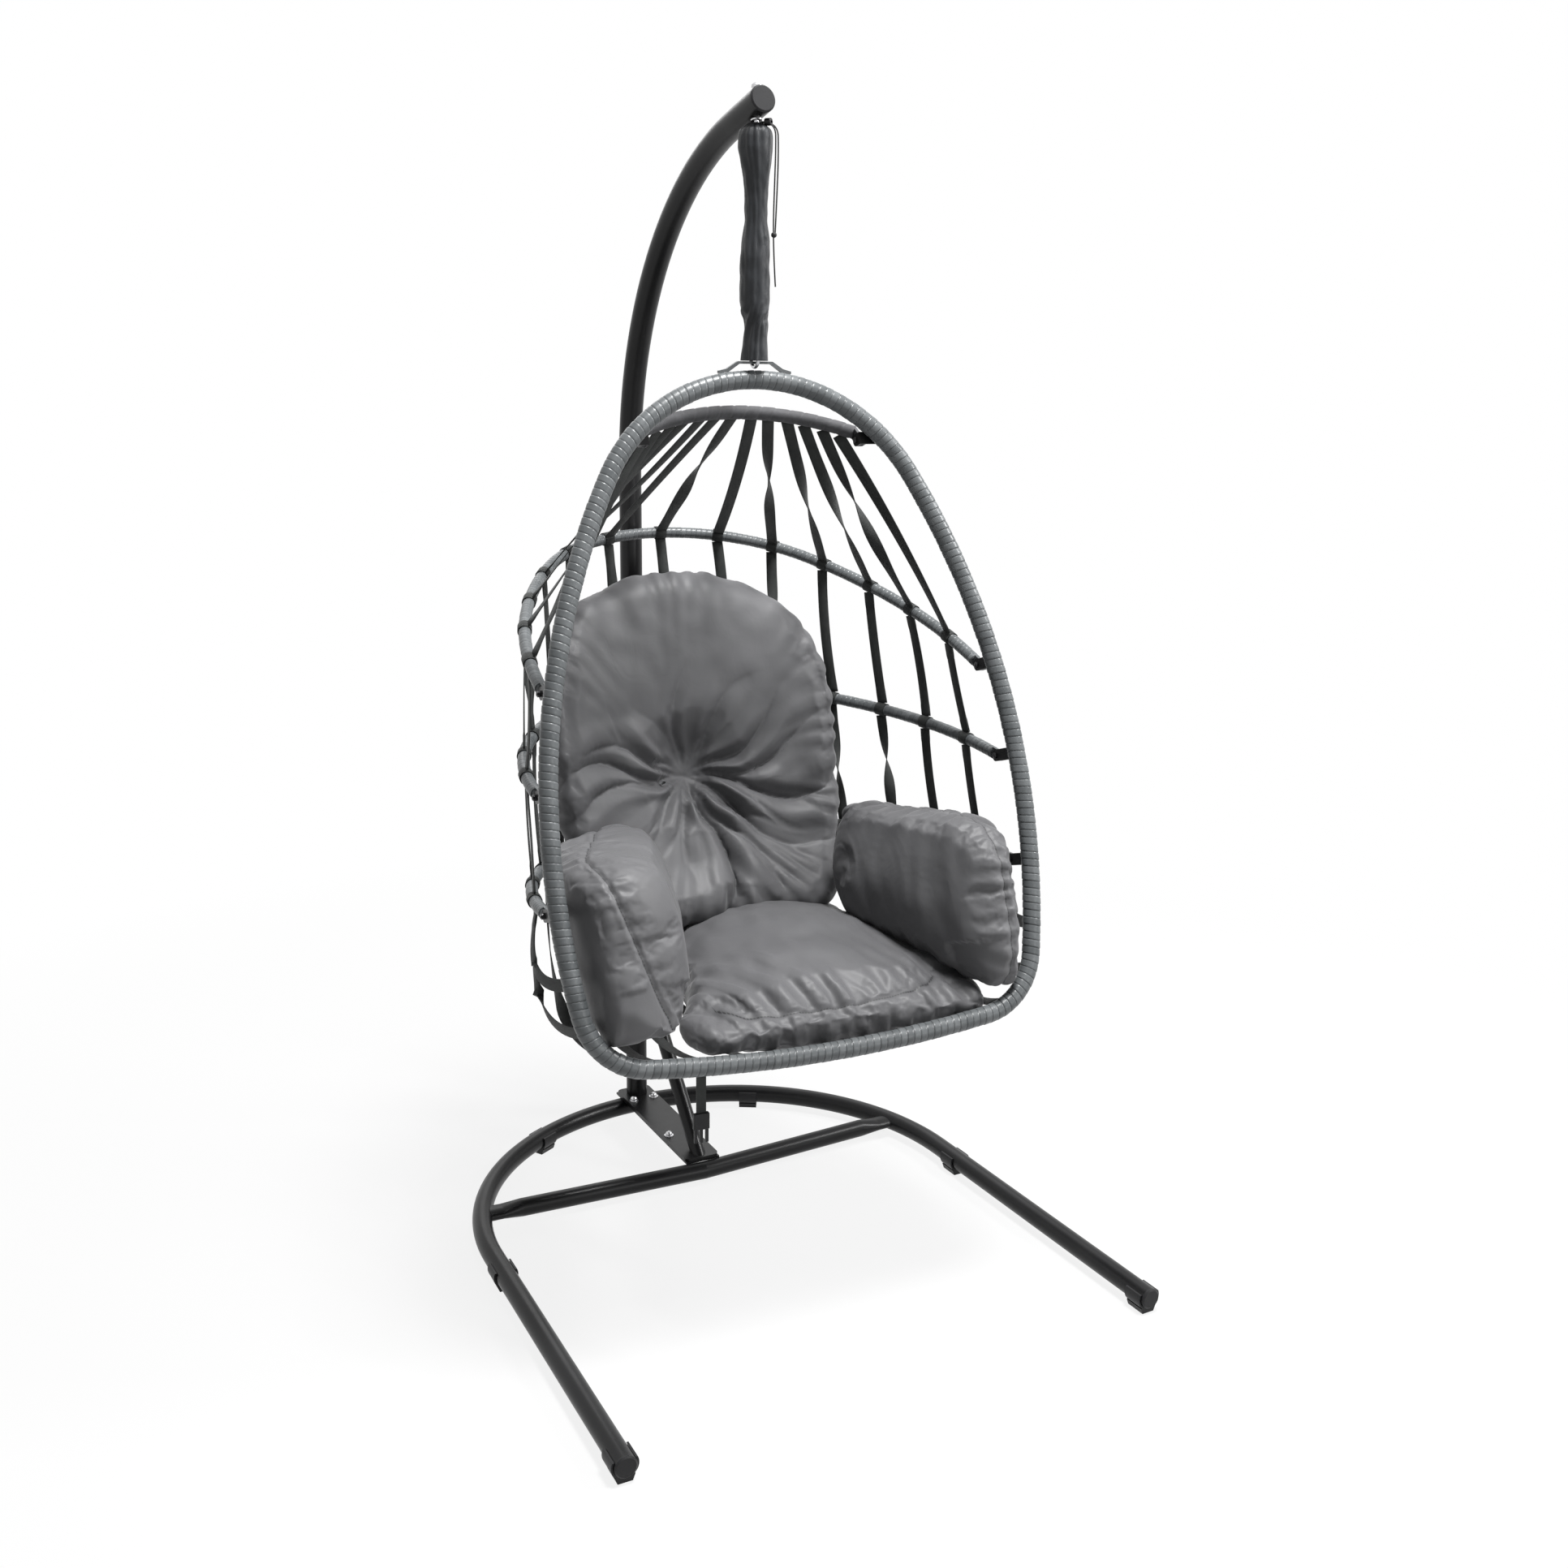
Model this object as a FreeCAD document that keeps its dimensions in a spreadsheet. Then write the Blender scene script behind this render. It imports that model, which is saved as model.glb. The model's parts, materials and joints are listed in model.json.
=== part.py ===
import FreeCAD, Part
import math
import os

import Sketcher
from FreeCAD import Placement, Rotation, Vector

# Hanging egg chair on a C-shaped tube stand.
# Millimetres and degrees, +Z up. The chair faces -Y; left (-X) and right (+X) are as seen from the front.
# The origin is on the floor under the middle of the chair's outline.
# Stand: two bent base halves, a foot plate, a two-piece post with a brace, six foot clips.
# Hanger: eye bolt, hook, chain, coil spring and lower hook inside a gathered cloth sleeve.
# Basket: a wrapped egg-shaped hoop, four bows hinged behind it, webbing and four cushions.

sizes = {
    # stand
    "baseTube": 35.0,            # outer diameter of the floor tubes
    "baseWall": 1.5,
    "soleHeight": 9.5,           # foot clip under the tube
    "ringRadius": 456.0,         # bend of the floor ring, to the tube's centre
    "legHalfSpread": 467.0,      # leg end from the middle
    "baseDepth": 1061.0,         # post axis to the leg ends
    "crossTube": 33.0,
    "crossBack": 328.0,          # crossbar middle in front of the post axis
    "crossEndBack": 304.0,       # crossbar ends in front of the post axis
    "crossFlat": 22.0,           # height of the pressed crossbar end
    "crossFlatLength": 55.0,
    "plateWidth": 69.0,
    "plateRear": 27.0,           # foot plate behind the post axis
    "plateFront": 322.0,         # foot plate in front of the post axis
    "plateThick": 5.0,
    "lowerPlateThick": 4.0,
    "plateSink": 1.5,            # weld seat of the lower plate in the tubes
    "plateCorner": 12.0,
    "plateBolt": 8.0,
    "plateBoltHead": 13.0,
    "plateBoltHeadHeight": 8.0,
    "plateWasher": 18.0,
    "plateWasherThick": 1.6,
    "rearBoltBack": 36.0,
    "frontBoltBack": 212.0,
    "plateBoltSpread": 44.0,
    "postTube": 42.0,
    "postWall": 1.8,
    "postJoint": 700.0,          # length of the lower post
    "postStraightTop": 1323.0,   # height at which the post starts to bend
    "postBend": 575.0,
    "postBendAngle": 76.0,
    "postTip": 100.0,
    "joinerLength": 140.0,
    "joinerGap": 0.2,
    "joinerWall": 2.0,
    "jointBolt": 6.0,
    "jointBoltSpacing": 80.0,
    "strutTube": 28.0,
    "strutWall": 1.5,
    "strutFront": 298.0,         # brace foot in front of the post axis
    "strutTop": 378.0,           # height at which the brace meets the post
    "capRim": 5.0,
    "capPlug": 5.0,
    "capRound": 2.5,
    "clipLength": 36.0,
    "clipWall": 3.2,
    "clipGap": 0.6,
    "clipLift": 9.0,             # clip lips above the tube's centre
    "clipSoleWidth": 31.0,
    "rearClipAngle": 30.0,
    "legClipAhead": 44.0,        # clip in front of the ring's centre
    "endClipInset": 19.0,
    # hanger
    "hangReach": 514.0,          # hang axis in front of the post axis
    "eyeDrop": 24.0,             # eye centre under the post's underside
    "eyeWire": 8.0,
    "eyeRadius": 13.0,
    "hookWire": 7.0,
    "hookBow": 11.5,
    "hookStraight": 37.0,
    "linkWire": 6.0,
    "linkBow": 10.0,
    "linkStraight": 21.0,
    "springWire": 5.0,
    "springRadius": 15.5,
    "springPitch": 7.4,
    "springTurns": 13,           # and a quarter
    "springNeck": 12.0,          # from the coil to its end loops
    "springLoop": 9.0,
    "lowerHookWire": 6.0,
    "lowerHookBow": 13.0,
    "touchGap": 0.3,
    "sleeveWall": 1.2,
    "sleeveTopGap": 5.8,
    "cordThick": 2.4,
    "cordTurn": 52.0,            # side of the sleeve on which the drawstring hangs
    # basket
    "swivelRest": -4.5,          # the basket hangs turned a little
    "hoopTop": 1492.0,           # height of the hoop tube's centre at its top
    "hoopLean": 17.25,
    "hoopHeight": 1070.0,        # along the hoop's own plane
    "hoopTopRadius": 295.0,
    "hoopHalfWidth": 407.5,
    "hoopWidestDrop": 740.0,
    "hoopCorner": 110.0,
    "hoopBottomRadius": 2400.0,
    "hoopTube": 25.0,
    "hoopWall": 1.5,
    "wrapThick": 2.0,
    "wrapGap": 0.2,
    "bridgeHalfWidth": 48.0,
    "bridgeDepth": 7.0,
    "bridgeThick": 4.0,
    "bridgeClear": 9.5,
    "bowTube": 18.5,
    "bowWall": 1.6,
    "topBowTube": 21.0,
    "eyeletLength": 24.0,        # flat end of a bow, to its bolt
    "eyeletWidth": 20.0,
    "eyeletThick": 5.0,
    "cheekThick": 3.0,
    "cheekGap": 0.4,
    "hingeBolt": 6.0,
    "hingeBoltHead": 10.0,
    "hingeBoltHeadHeight": 4.0,
    "strapWidth": 20.0,
    "strapThick": 1.6,
    "strapCount": 13,
    "strapClear": 0.6,
    "tieSide": 204.0,
    "tieWidth": 16.0,
    "tieLength": 82.0,
    "buckleDeep": 9.0,
    "buckleTall": 44.0,
    # cushions
    "seatHalfWidth": 270.0,
    "seatShift": 54.0,
    "seatThick": 88.0,
    "seatCrown": 36.0,
    "seatFront": -295.0,
    "seatRear": 178.0,
    "seatHeight": 452.5,
    "seatSag": 22.0,
    "backHalfWidth": 274.0,
    "backShift": -18.0,
    "backThick": 138.0,
    "backSideThick": 66.0,
    "backBottom": 549.0,
    "backTop": 1124.0,
    "tuftHeight": 795.0,
    "tuftDepth": 34.0,
    "tuftRadius": 90.0,
    "armStart": -40.0,
    "armLength": 364.0,
    "armSwell": 24.0,
    "leftArmLean": 66.0,
    "cushionClear": 2.6,
}

# Four bows: drop of the hinge along the hoop, hinge behind the hoop, half width, reach, rear bend,
# rise, and where the tube starts behind its bolt.
bows = {
    "top": {"drop": 90.0, "off": 30.0, "half": 188.0, "reach": 85.0,
        "bend": 0.0, "rise": 30.0, "start": 23.0},
    "upper": {"drop": 472.0, "off": 50.0, "half": 380.0, "reach": 583.0,
        "bend": 300.0, "rise": 18.3, "start": 17.0},
    "middle": {"drop": 628.0, "off": 57.0, "half": 401.0, "reach": 531.0,
        "bend": 330.0, "rise": 5.3, "start": 17.0},
    "lower": {"drop": 807.0, "off": 58.0, "half": 407.0, "reach": 528.0,
        "bend": 340.0, "rise": -4.1, "start": 17.0},
}
for bowName, bow in bows.items():
    for key, value in bow.items():
        sizes[bowName + key.capitalize()] = value

doc = FreeCAD.newDocument("EggChair")
sheet = doc.addObject("Spreadsheet::Sheet", "Sizes")
for row, (alias, value) in enumerate(sizes.items(), start=1):
    sheet.set("A%d" % row, alias)
    sheet.set("B%d" % row, str(value))
    sheet.setAlias("B%d" % row, alias)
doc.recompute()

nodes = []


def size(alias):
    return float(sheet.get(alias))


def keep(item, label):
    """List a finished sub-part under the name of its file."""
    item.Label = label
    nodes.append(item)
    return item


def rotX(angle):
    return Rotation(Vector(1, 0, 0), angle)


def rotZ(angle):
    return Rotation(Vector(0, 0, 1), angle)


# Frames: the post axis, the hang axis, the hoop's plane and each bow's plane.
tubeHeight = size("baseTube") / 2 + size("soleHeight")
postBack = (size("baseDepth") + size("capRim") - size("plateRear")) / 2
plateBase = tubeHeight + size("baseTube") / 2 - size("plateSink") + size("lowerPlateThick")
plateTop = plateBase + size("plateThick")
stand = Placement(Vector(0, postBack, tubeHeight), Rotation())
hangBack = postBack - size("hangReach")
hang = Placement(Vector(0, hangBack, 0), rotZ(size("swivelRest")))
hoopPlane = hang * Placement(Vector(0, 0, size("hoopTop")), rotX(-size("hoopLean")))
hoopRadius = size("hoopTube") / 2 + size("wrapGap") + size("wrapThick")


def hoopToHang(point):
    """A point of the hoop's plane (right, behind, up) in the upright frame of the hang axis."""
    return Placement(Vector(0, 0, size("hoopTop")), rotX(-size("hoopLean"))).multVec(point)


def bowFrame(name):
    """A bow's own frame in the upright frame of the hang axis."""
    hinge = hoopToHang(Vector(0, size(name + "Off"), -size(name + "Drop")))
    return Placement(Vector(0, hinge.y, hinge.z), rotX(size(name + "Rise")))


# Helpers for bodies, sketches and tubes.
def newBody(name):
    return doc.addObject("PartDesign::Body", name)


def originPlane(body, role):
    return next(item for item in body.Origin.OriginFeatures if item.Role == role)


def newSketch(body, name, role, offset=None):
    sketch = body.newObject("Sketcher::SketchObject", body.Name + name)
    sketch.AttachmentSupport = (originPlane(body, role), "")
    sketch.MapMode = "FlatFace"
    if offset is not None:
        sketch.setExpression("AttachmentOffset.Base.z", offset)
    return sketch


def hold(sketch, expression, *definition):
    """Add a dimension to a sketch and bind it to the sheet."""
    index = sketch.addConstraint(Sketcher.Constraint(*definition))
    sketch.setExpression("Constraints[%d]" % index, expression)


def tie(sketch, *definition):
    sketch.addConstraint(Sketcher.Constraint(*definition))


def addCircle(sketch, diameter, x=None, y=None):
    """A circle at the origin, or at bound places along the sketch's axes, each (expression, value)."""
    centre = Vector(x[1] if x else 0, y[1] if y else 0, 0)
    circle = sketch.addGeometry(Part.Circle(centre, Vector(0, 0, 1), diameter[1] / 2), False)
    hold(sketch, diameter[0], "Diameter", circle, diameter[1])
    if x is None and y is None:
        tie(sketch, "Coincident", circle, 3, -1, 1)
        return circle
    for place, kind, axis in ((x, "DistanceX", -2), (y, "DistanceY", -1)):
        if place is None:
            tie(sketch, "PointOnObject", circle, 3, axis)
        else:
            hold(sketch, place[0], kind, -1, 1, circle, 3, place[1])
    return circle


def tubeProfile(body, role, diameter, wall, x=None, y=None):
    profile = newSketch(body, "Section", role)
    outer = size(diameter)
    addCircle(profile, ("Sizes." + diameter, outer), x, y)
    addCircle(profile, ("Sizes.%s - 2 * Sizes.%s" % (diameter, wall), outer - 2 * size(wall)), x, y)
    return profile


def addPipe(body, profile, path):
    pipe = body.newObject("PartDesign::AdditivePipe", body.Name + "Pipe")
    pipe.Profile = profile
    pipe.Spine = (path, ["Edge%d" % (i + 1) for i in range(path.GeometryCount)])
    body.Tip = pipe
    return pipe


def addPad(body, sketch, length, middle=False, reverse=False):
    pad = body.newObject("PartDesign::Pad", sketch.Name + "Pad")
    pad.Profile = sketch
    pad.setExpression("Length", length)
    pad.Midplane = middle
    pad.Reversed = reverse
    body.Tip = pad
    return pad


def addThroughCut(body, sketch):
    """Cut a sketch through the whole body, both ways, and make sure that it took material away."""
    doc.recompute()
    before = body.Shape.Volume
    cut = body.newObject("PartDesign::Pocket", sketch.Name + "Cut")
    cut.Profile = sketch
    cut.Type = 1
    cut.Midplane = True
    body.Tip = cut
    doc.recompute()
    if body.Shape.Volume >= before:
        raise RuntimeError("the cut in %s takes nothing away" % body.Name)
    return cut


def addMirror(body, features, role):
    mirror = body.newObject("PartDesign::Mirrored", body.Name + "Mirror")
    mirror.Originals = features
    mirror.MirrorPlane = (originPlane(body, role), [""])
    body.Tip = mirror
    return mirror


def outline(sketch, points):
    """A closed outline of straight edges; the points are tied corner to corner."""
    count = len(points)
    corners = [Vector(*point, 0) for point in points]
    edges = [
        sketch.addGeometry(Part.LineSegment(corners[i], corners[(i + 1) % count]), False)
        for i in range(count)
    ]
    for i in range(count):
        tie(sketch, "Coincident", edges[i], 2, edges[(i + 1) % count], 1)
    return edges


def rectangle(sketch, left, right, low, high):
    """A rectangle whose four sides are bound; each side is (expression, value)."""
    corners = [(left[1], low[1]), (right[1], low[1]), (right[1], high[1]), (left[1], high[1])]
    edges = outline(sketch, corners)
    for i, kind in enumerate(("Horizontal", "Vertical", "Horizontal", "Vertical")):
        tie(sketch, kind, edges[i])
    hold(sketch, low[0], "DistanceY", -1, 1, edges[0], 1, low[1])
    hold(sketch, high[0], "DistanceY", -1, 1, edges[2], 1, high[1])
    if left[1] == 0:
        tie(sketch, "PointOnObject", edges[0], 1, -2)
    else:
        hold(sketch, left[0], "DistanceX", -1, 1, edges[0], 1, left[1])
    hold(sketch, right[0], "DistanceX", -1, 1, edges[1], 1, right[1])
    return edges


# Stand
def legLine():
    """Where a leg leaves the ring, for the right half, and how far it splays, in the base's own frame."""
    radius, spread, depth = size("ringRadius"), size("legHalfSpread"), size("baseDepth")
    reach = math.hypot(spread, depth - radius)
    turn = math.atan2(depth - radius, spread) - math.acos(radius / reach)
    touch = Vector(radius * math.cos(turn), -radius - radius * math.sin(turn), 0)
    run = Vector(spread, -depth, 0) - touch
    return touch, turn, math.degrees(math.atan2(run.x, -run.y))


def makeBaseHalf(label, side):
    """Half of the floor ring with its leg, half of the crossbar and half of the lower plate."""
    body = newBody(label)
    radius = size("ringRadius")
    spread = size("legHalfSpread")
    depth = size("baseDepth")
    touch, turn, _ = legLine()
    touch.x *= side
    path = newSketch(body, "Path", "XY_Plane")
    centre = Vector(0, -radius, 0)
    circle = Part.Circle(centre, Vector(0, 0, 1), radius)
    if side < 0:
        ring = path.addGeometry(Part.ArcOfCircle(circle, math.pi / 2, math.pi + turn), False)
        ends = (1, 2)
    else:
        ring = path.addGeometry(Part.ArcOfCircle(circle, -turn, math.pi / 2), False)
        ends = (2, 1)
    leg = path.addGeometry(Part.LineSegment(touch, Vector(side * spread, -depth, 0)), False)
    tie(path, "Coincident", ring, ends[0], -1, 1)
    tie(path, "PointOnObject", ring, 3, -2)
    hold(path, "Sizes.ringRadius", "Radius", ring, radius)
    tie(path, "Tangent", ring, ends[1], leg, 1)
    sign = "" if side > 0 else "-"
    hold(path, sign + "Sizes.legHalfSpread", "DistanceX", -1, 1, leg, 2, side * spread)
    hold(path, "-Sizes.baseDepth", "DistanceY", -1, 1, leg, 2, -depth)
    addPipe(body, tubeProfile(body, "YZ_Plane", "baseTube", "baseWall"), path)
    # The crossbar half is pressed oval where it is welded to the ring.
    endHalf = math.sqrt(radius ** 2 - (radius - size("crossEndBack")) ** 2)
    flat = size("crossFlatLength")
    sections = []
    for name, along, height, width in (
        ("Middle", 0.0, size("crossTube"), size("crossTube")),
        ("Neck", endHalf - size("baseTube") / 2 - flat, size("crossTube"), size("crossTube")),
        ("Press", endHalf - size("baseTube") / 2 - flat / 3, size("crossFlat"), size("crossTube") * 1.22),
        ("Weld", endHalf - size("baseTube") / 4, size("crossFlat"), size("crossTube") * 1.28),
    ):
        section = newSketch(body, "Cross" + name, "YZ_Plane")
        section.AttachmentOffset = Placement(Vector(0, 0, side * along), Rotation())
        share = along / endHalf
        back = size("crossBack") + (size("crossEndBack") - size("crossBack")) * share
        middle = Vector(-back, 0, 0)
        if abs(height - width) < 0.01:
            shape = Part.Circle(middle, Vector(0, 0, 1), height / 2)
        else:
            shape = Part.Ellipse(middle, width / 2, height / 2)
        section.addGeometry(shape, False)
        sections.append(section)
    bar = body.newObject("PartDesign::AdditiveLoft", body.Name + "Cross")
    bar.Profile = sections[0]
    bar.Sections = sections[1:]
    bar.Ruled = True
    body.Tip = bar
    plate = newSketch(body, "Plate", "XY_Plane", "Sizes.baseTube / 2 - Sizes.plateSink")
    half = size("plateWidth") / 2
    sides = [("0.25", 0.25), ("Sizes.plateWidth / 2", half)]
    if side < 0:
        sides = [("-Sizes.plateWidth / 2", -half), ("-0.25", -0.25)]
    rectangle(
        plate, sides[0], sides[1],
        ("-Sizes.plateFront", -size("plateFront")), ("Sizes.plateRear", size("plateRear")),
    )
    addPad(body, plate, "Sizes.lowerPlateThick")
    holes = newSketch(body, "BoltHoles", "XY_Plane", "Sizes.baseTube / 2 - Sizes.plateSink")
    for back in ("rearBoltBack", "frontBoltBack"):
        addCircle(
            holes, ("Sizes.plateBolt + 1", size("plateBolt") + 1),
            (sign + "Sizes.plateBoltSpread / 2", side * size("plateBoltSpread") / 2),
            ("-Sizes." + back, -size(back)),
        )
    doc.recompute()
    cut = body.newObject("PartDesign::Pocket", body.Name + "BoltCut")
    cut.Profile = holes
    cut.Reversed = True
    cut.setExpression("Length", "Sizes.lowerPlateThick")
    body.Tip = cut
    body.Placement = stand
    return keep(body, label)


def makeFootPlate():
    body = newBody("foot_plate")
    sketch = newSketch(body, "Outline", "XY_Plane")
    half = size("plateWidth") / 2
    rectangle(
        sketch, ("-Sizes.plateWidth / 2", -half), ("Sizes.plateWidth / 2", half),
        ("-Sizes.plateFront", -size("plateFront")), ("Sizes.plateRear", size("plateRear")),
    )
    pad = addPad(body, sketch, "Sizes.plateThick")
    doc.recompute()
    upright = [
        "Edge%d" % (i + 1) for i, edge in enumerate(pad.Shape.Edges)
        if abs(edge.tangentAt(edge.FirstParameter).z) > 0.9
    ]
    rounding = body.newObject("PartDesign::Fillet", "foot_plateCorners")
    rounding.Base = (pad, upright)
    rounding.setExpression("Radius", "Sizes.plateCorner")
    body.Tip = rounding
    holes = newSketch(body, "Holes", "XY_Plane")
    for side in (-1, 1):
        for back in ("rearBoltBack", "frontBoltBack"):
            addCircle(
                holes, ("Sizes.plateBolt + 1", size("plateBolt") + 1),
                (("" if side > 0 else "-") + "Sizes.plateBoltSpread / 2", side * size("plateBoltSpread") / 2),
                ("-Sizes." + back, -size(back)),
            )
    addThroughCut(body, holes)
    body.Placement = Placement(Vector(0, postBack, plateBase), Rotation())
    return keep(body, "foot_plate")


def addCrossHoles(body, heights):
    """Holes for the joint bolts, along X, through both walls; each height is (expression, value)."""
    holes = newSketch(body, "JointHoles", "YZ_Plane")
    for height in heights:
        addCircle(holes, ("Sizes.jointBolt + 0.6", size("jointBolt") + 0.6), None, height)
    addThroughCut(body, holes)


def makeLowerPost():
    body = newBody("lower_post")
    pad = addPad(body, tubeProfile(body, "XY_Plane", "postTube", "postWall"), "Sizes.postJoint")
    body.Tip = pad
    place = size("postJoint") - size("jointBoltSpacing") / 2
    addCrossHoles(body, [("Sizes.postJoint - Sizes.jointBoltSpacing / 2", place)])
    body.Placement = Placement(Vector(0, postBack, plateTop), Rotation())
    return keep(body, "lower_post")


def makeUpperPost():
    """The bent upper tube, from the joint up and forward to the tip."""
    body = newBody("upper_post")
    path = newSketch(body, "Path", "YZ_Plane")
    straight = size("postStraightTop") - plateTop - size("postJoint")
    bend = size("postBend")
    angle = math.radians(size("postBendAngle"))
    corner = Vector(-bend * (1 - math.cos(angle)), straight + bend * math.sin(angle), 0)
    tip = corner + Vector(-math.sin(angle), math.cos(angle), 0) * size("postTip")
    upright = path.addGeometry(Part.LineSegment(Vector(0, 0, 0), Vector(0, straight, 0)), False)
    circle = Part.Circle(Vector(-bend, straight, 0), Vector(0, 0, 1), bend)
    arc = path.addGeometry(Part.ArcOfCircle(circle, 0, angle), False)
    run = path.addGeometry(Part.LineSegment(corner, tip), False)
    tie(path, "Coincident", upright, 1, -1, 1)
    tie(path, "Vertical", upright)
    hold(
        path, "Sizes.postStraightTop - %r - Sizes.postJoint" % plateTop,
        "DistanceY", upright, 1, upright, 2, straight)
    tie(path, "Tangent", upright, 2, arc, 1)
    hold(path, "Sizes.postBend", "Radius", arc, bend)
    tie(path, "Tangent", arc, 2, run, 1)
    hold(path, "Sizes.postTip", "Distance", run, size("postTip"))
    hold(
        path, "Sizes.postBend * sin(Sizes.postBendAngle * 1 deg)",
        "DistanceY", arc, 3, arc, 2, bend * math.sin(angle))
    addPipe(body, tubeProfile(body, "XY_Plane", "postTube", "postWall"), path)
    addCrossHoles(body, [("Sizes.jointBoltSpacing / 2", size("jointBoltSpacing") / 2)])
    drill = newSketch(body, "EyeHole", "XY_Plane")
    eyeHole = ("Sizes.eyeWire + 0.6", size("eyeWire") + 0.6)
    addCircle(drill, eyeHole, None, ("-Sizes.hangReach", -size("hangReach")))
    addThroughCut(body, drill)
    body.Placement = Placement(Vector(0, postBack, plateTop + size("postJoint")), Rotation())
    frame = Placement(Vector(0, tip.x, tip.y), rotX(size("postBendAngle")))
    keep(body, "upper_post")
    return body, body.Placement * frame, body.Placement.multVec(Vector(0, corner.x, corner.y))


def makeJoiner():
    body = newBody("post_joiner")
    profile = newSketch(body, "Section", "XY_Plane")
    outer = size("postTube") - 2 * size("postWall") - 2 * size("joinerGap")
    outerText = "Sizes.postTube - 2 * Sizes.postWall - 2 * Sizes.joinerGap"
    addCircle(profile, (outerText, outer))
    addCircle(profile, (outerText + " - 2 * Sizes.joinerWall", outer - 2 * size("joinerWall")))
    addPad(body, profile, "Sizes.joinerLength", middle=True)
    half = size("jointBoltSpacing") / 2
    addCrossHoles(body, [("Sizes.jointBoltSpacing / 2", half), ("-Sizes.jointBoltSpacing / 2", -half)])
    body.Placement = Placement(Vector(0, postBack, plateTop + size("postJoint")), Rotation())
    return keep(body, "post_joiner")


def roundBolt(shank, length, head, headHeight, nut=0.0, nutHeight=0.0, washer=0.0, washerThick=0.0):
    """A dome-headed bolt down its own -Z from a seat at z = 0, with a washer under its head."""
    top = washerThick
    rise = headHeight * 0.55
    ball = ((head / 2) ** 2 + rise ** 2) / (2 * rise)
    dome = Part.makeSphere(ball, Vector(0, 0, top + headHeight - ball))
    crown = Part.makeCylinder(head / 2, headHeight, Vector(0, 0, top)).common(dome)
    solids = [Part.makeCylinder(shank / 2, length + top, Vector(0, 0, -length))]
    if washer:
        solids.append(Part.makeCylinder(washer / 2, washerThick))
    if nut:
        solids.append(Part.makeCylinder(nut / 2, nutHeight, Vector(0, 0, -length)))
    return crown.fuse(solids).removeSplitter()


def addFeature(label, shape, placement=None):
    feature = doc.addObject("Part::Feature", label)
    feature.Shape = shape
    if placement is not None:
        feature.Placement = placement
    return keep(feature, label)


def makePlateBolts():
    """Four dome bolts with washers through both plates, and the nuts under the lower plates."""
    length = size("plateThick") + size("lowerPlateThick") + 9
    bolts = []
    nuts = []
    gap = size("plateBolt") / 2 + 0.3
    for side in (-1, 1):
        for back in ("rearBoltBack", "frontBoltBack"):
            seat = Vector(side * size("plateBoltSpread") / 2, postBack - size(back), plateTop)
            bolt = roundBolt(
                size("plateBolt"), length, size("plateBoltHead"), size("plateBoltHeadHeight"),
                washer=size("plateWasher"), washerThick=size("plateWasherThick"),
            )
            bolt.translate(seat)
            bolts.append(bolt)
            hexagon = Part.makePolygon([
                Vector(math.cos(math.radians(a)), math.sin(math.radians(a)), 0) * size("plateBoltHead") * 0.58
                for a in range(0, 361, 60)
            ])
            nut = Part.Face(hexagon).extrude(Vector(0, 0, -6.5))
            nut = nut.cut(Part.makeCylinder(gap, 8, Vector(0, 0, -7)))
            nut.translate(seat - Vector(0, 0, size("plateThick") + size("lowerPlateThick")))
            nuts.append(nut)
    addFeature("plate_bolts", Part.makeCompound(bolts))
    addFeature("plate_nuts", Part.makeCompound(nuts))


def makeJointBolts():
    """Two bolts along X that hold the post's halves to the inner joiner, with a nut on the far side."""
    radius = size("postTube") / 2
    bolts = []
    for lift in (-1, 1):
        bolt = roundBolt(size("jointBolt"), 2 * radius + 9, 12, 5)
        nut = Part.makeCylinder(6, 5, Vector(0, 0, -2 * radius - 5.6))
        bolt = bolt.fuse(nut).removeSplitter()
        height = plateTop + size("postJoint") + lift * size("jointBoltSpacing") / 2
        seat = Vector(radius + 0.3, postBack, height)
        bolt.Placement = Placement(seat, Rotation(Vector(0, 1, 0), 90))
        bolts.append(bolt)
    addFeature("joint_bolts", Part.makeCompound(bolts))


def makeStrut():
    """The brace from the foot plate's front to the post, cut to both."""
    foot = Vector(0, postBack - size("strutFront"), plateTop)
    head = Vector(0, postBack, size("strutTop"))
    along = head - foot
    length = along.Length
    frame = Placement(foot, Rotation(Vector(0, 0, 1), along))
    extra = size("strutTube")
    outer = doc.addObject("Part::Cylinder", "strutOuter")
    outer.setExpression("Radius", "Sizes.strutTube / 2")
    bore = doc.addObject("Part::Cylinder", "strutBore")
    bore.setExpression("Radius", "Sizes.strutTube / 2 - Sizes.strutWall")
    for item in (outer, bore):
        item.Height = length + 2 * extra
        item.Placement = frame * Placement(Vector(0, 0, -extra), Rotation())
    tube = doc.addObject("Part::Cut", "strutTube")
    tube.Base = outer
    tube.Tool = bore
    post = doc.addObject("Part::Cylinder", "strutPostCut")
    post.setExpression("Radius", "Sizes.postTube / 2")
    post.Height = size("strutTop") + 4 * extra
    post.Placement = Placement(Vector(0, postBack, 0), Rotation())
    behind = doc.addObject("Part::Box", "strutBehindCut")
    behind.Length = 4 * extra
    behind.Width = 4 * extra
    behind.Height = size("strutTop") + 4 * extra
    behind.Placement = Placement(Vector(-2 * extra, postBack, 0), Rotation())
    floor = doc.addObject("Part::Box", "strutFloorCut")
    floor.Length = 4 * extra
    floor.Width = 4 * extra
    floor.Height = 4 * extra
    floor.Placement = Placement(foot - Vector(2 * extra, 2 * extra, 4 * extra), Rotation())
    waste = doc.addObject("Part::MultiFuse", "strutWaste")
    waste.Shapes = [post, behind, floor]
    strut = doc.addObject("Part::Cut", "post_strut")
    strut.Base = tube
    strut.Tool = waste
    return keep(strut, "post_strut")


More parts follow.
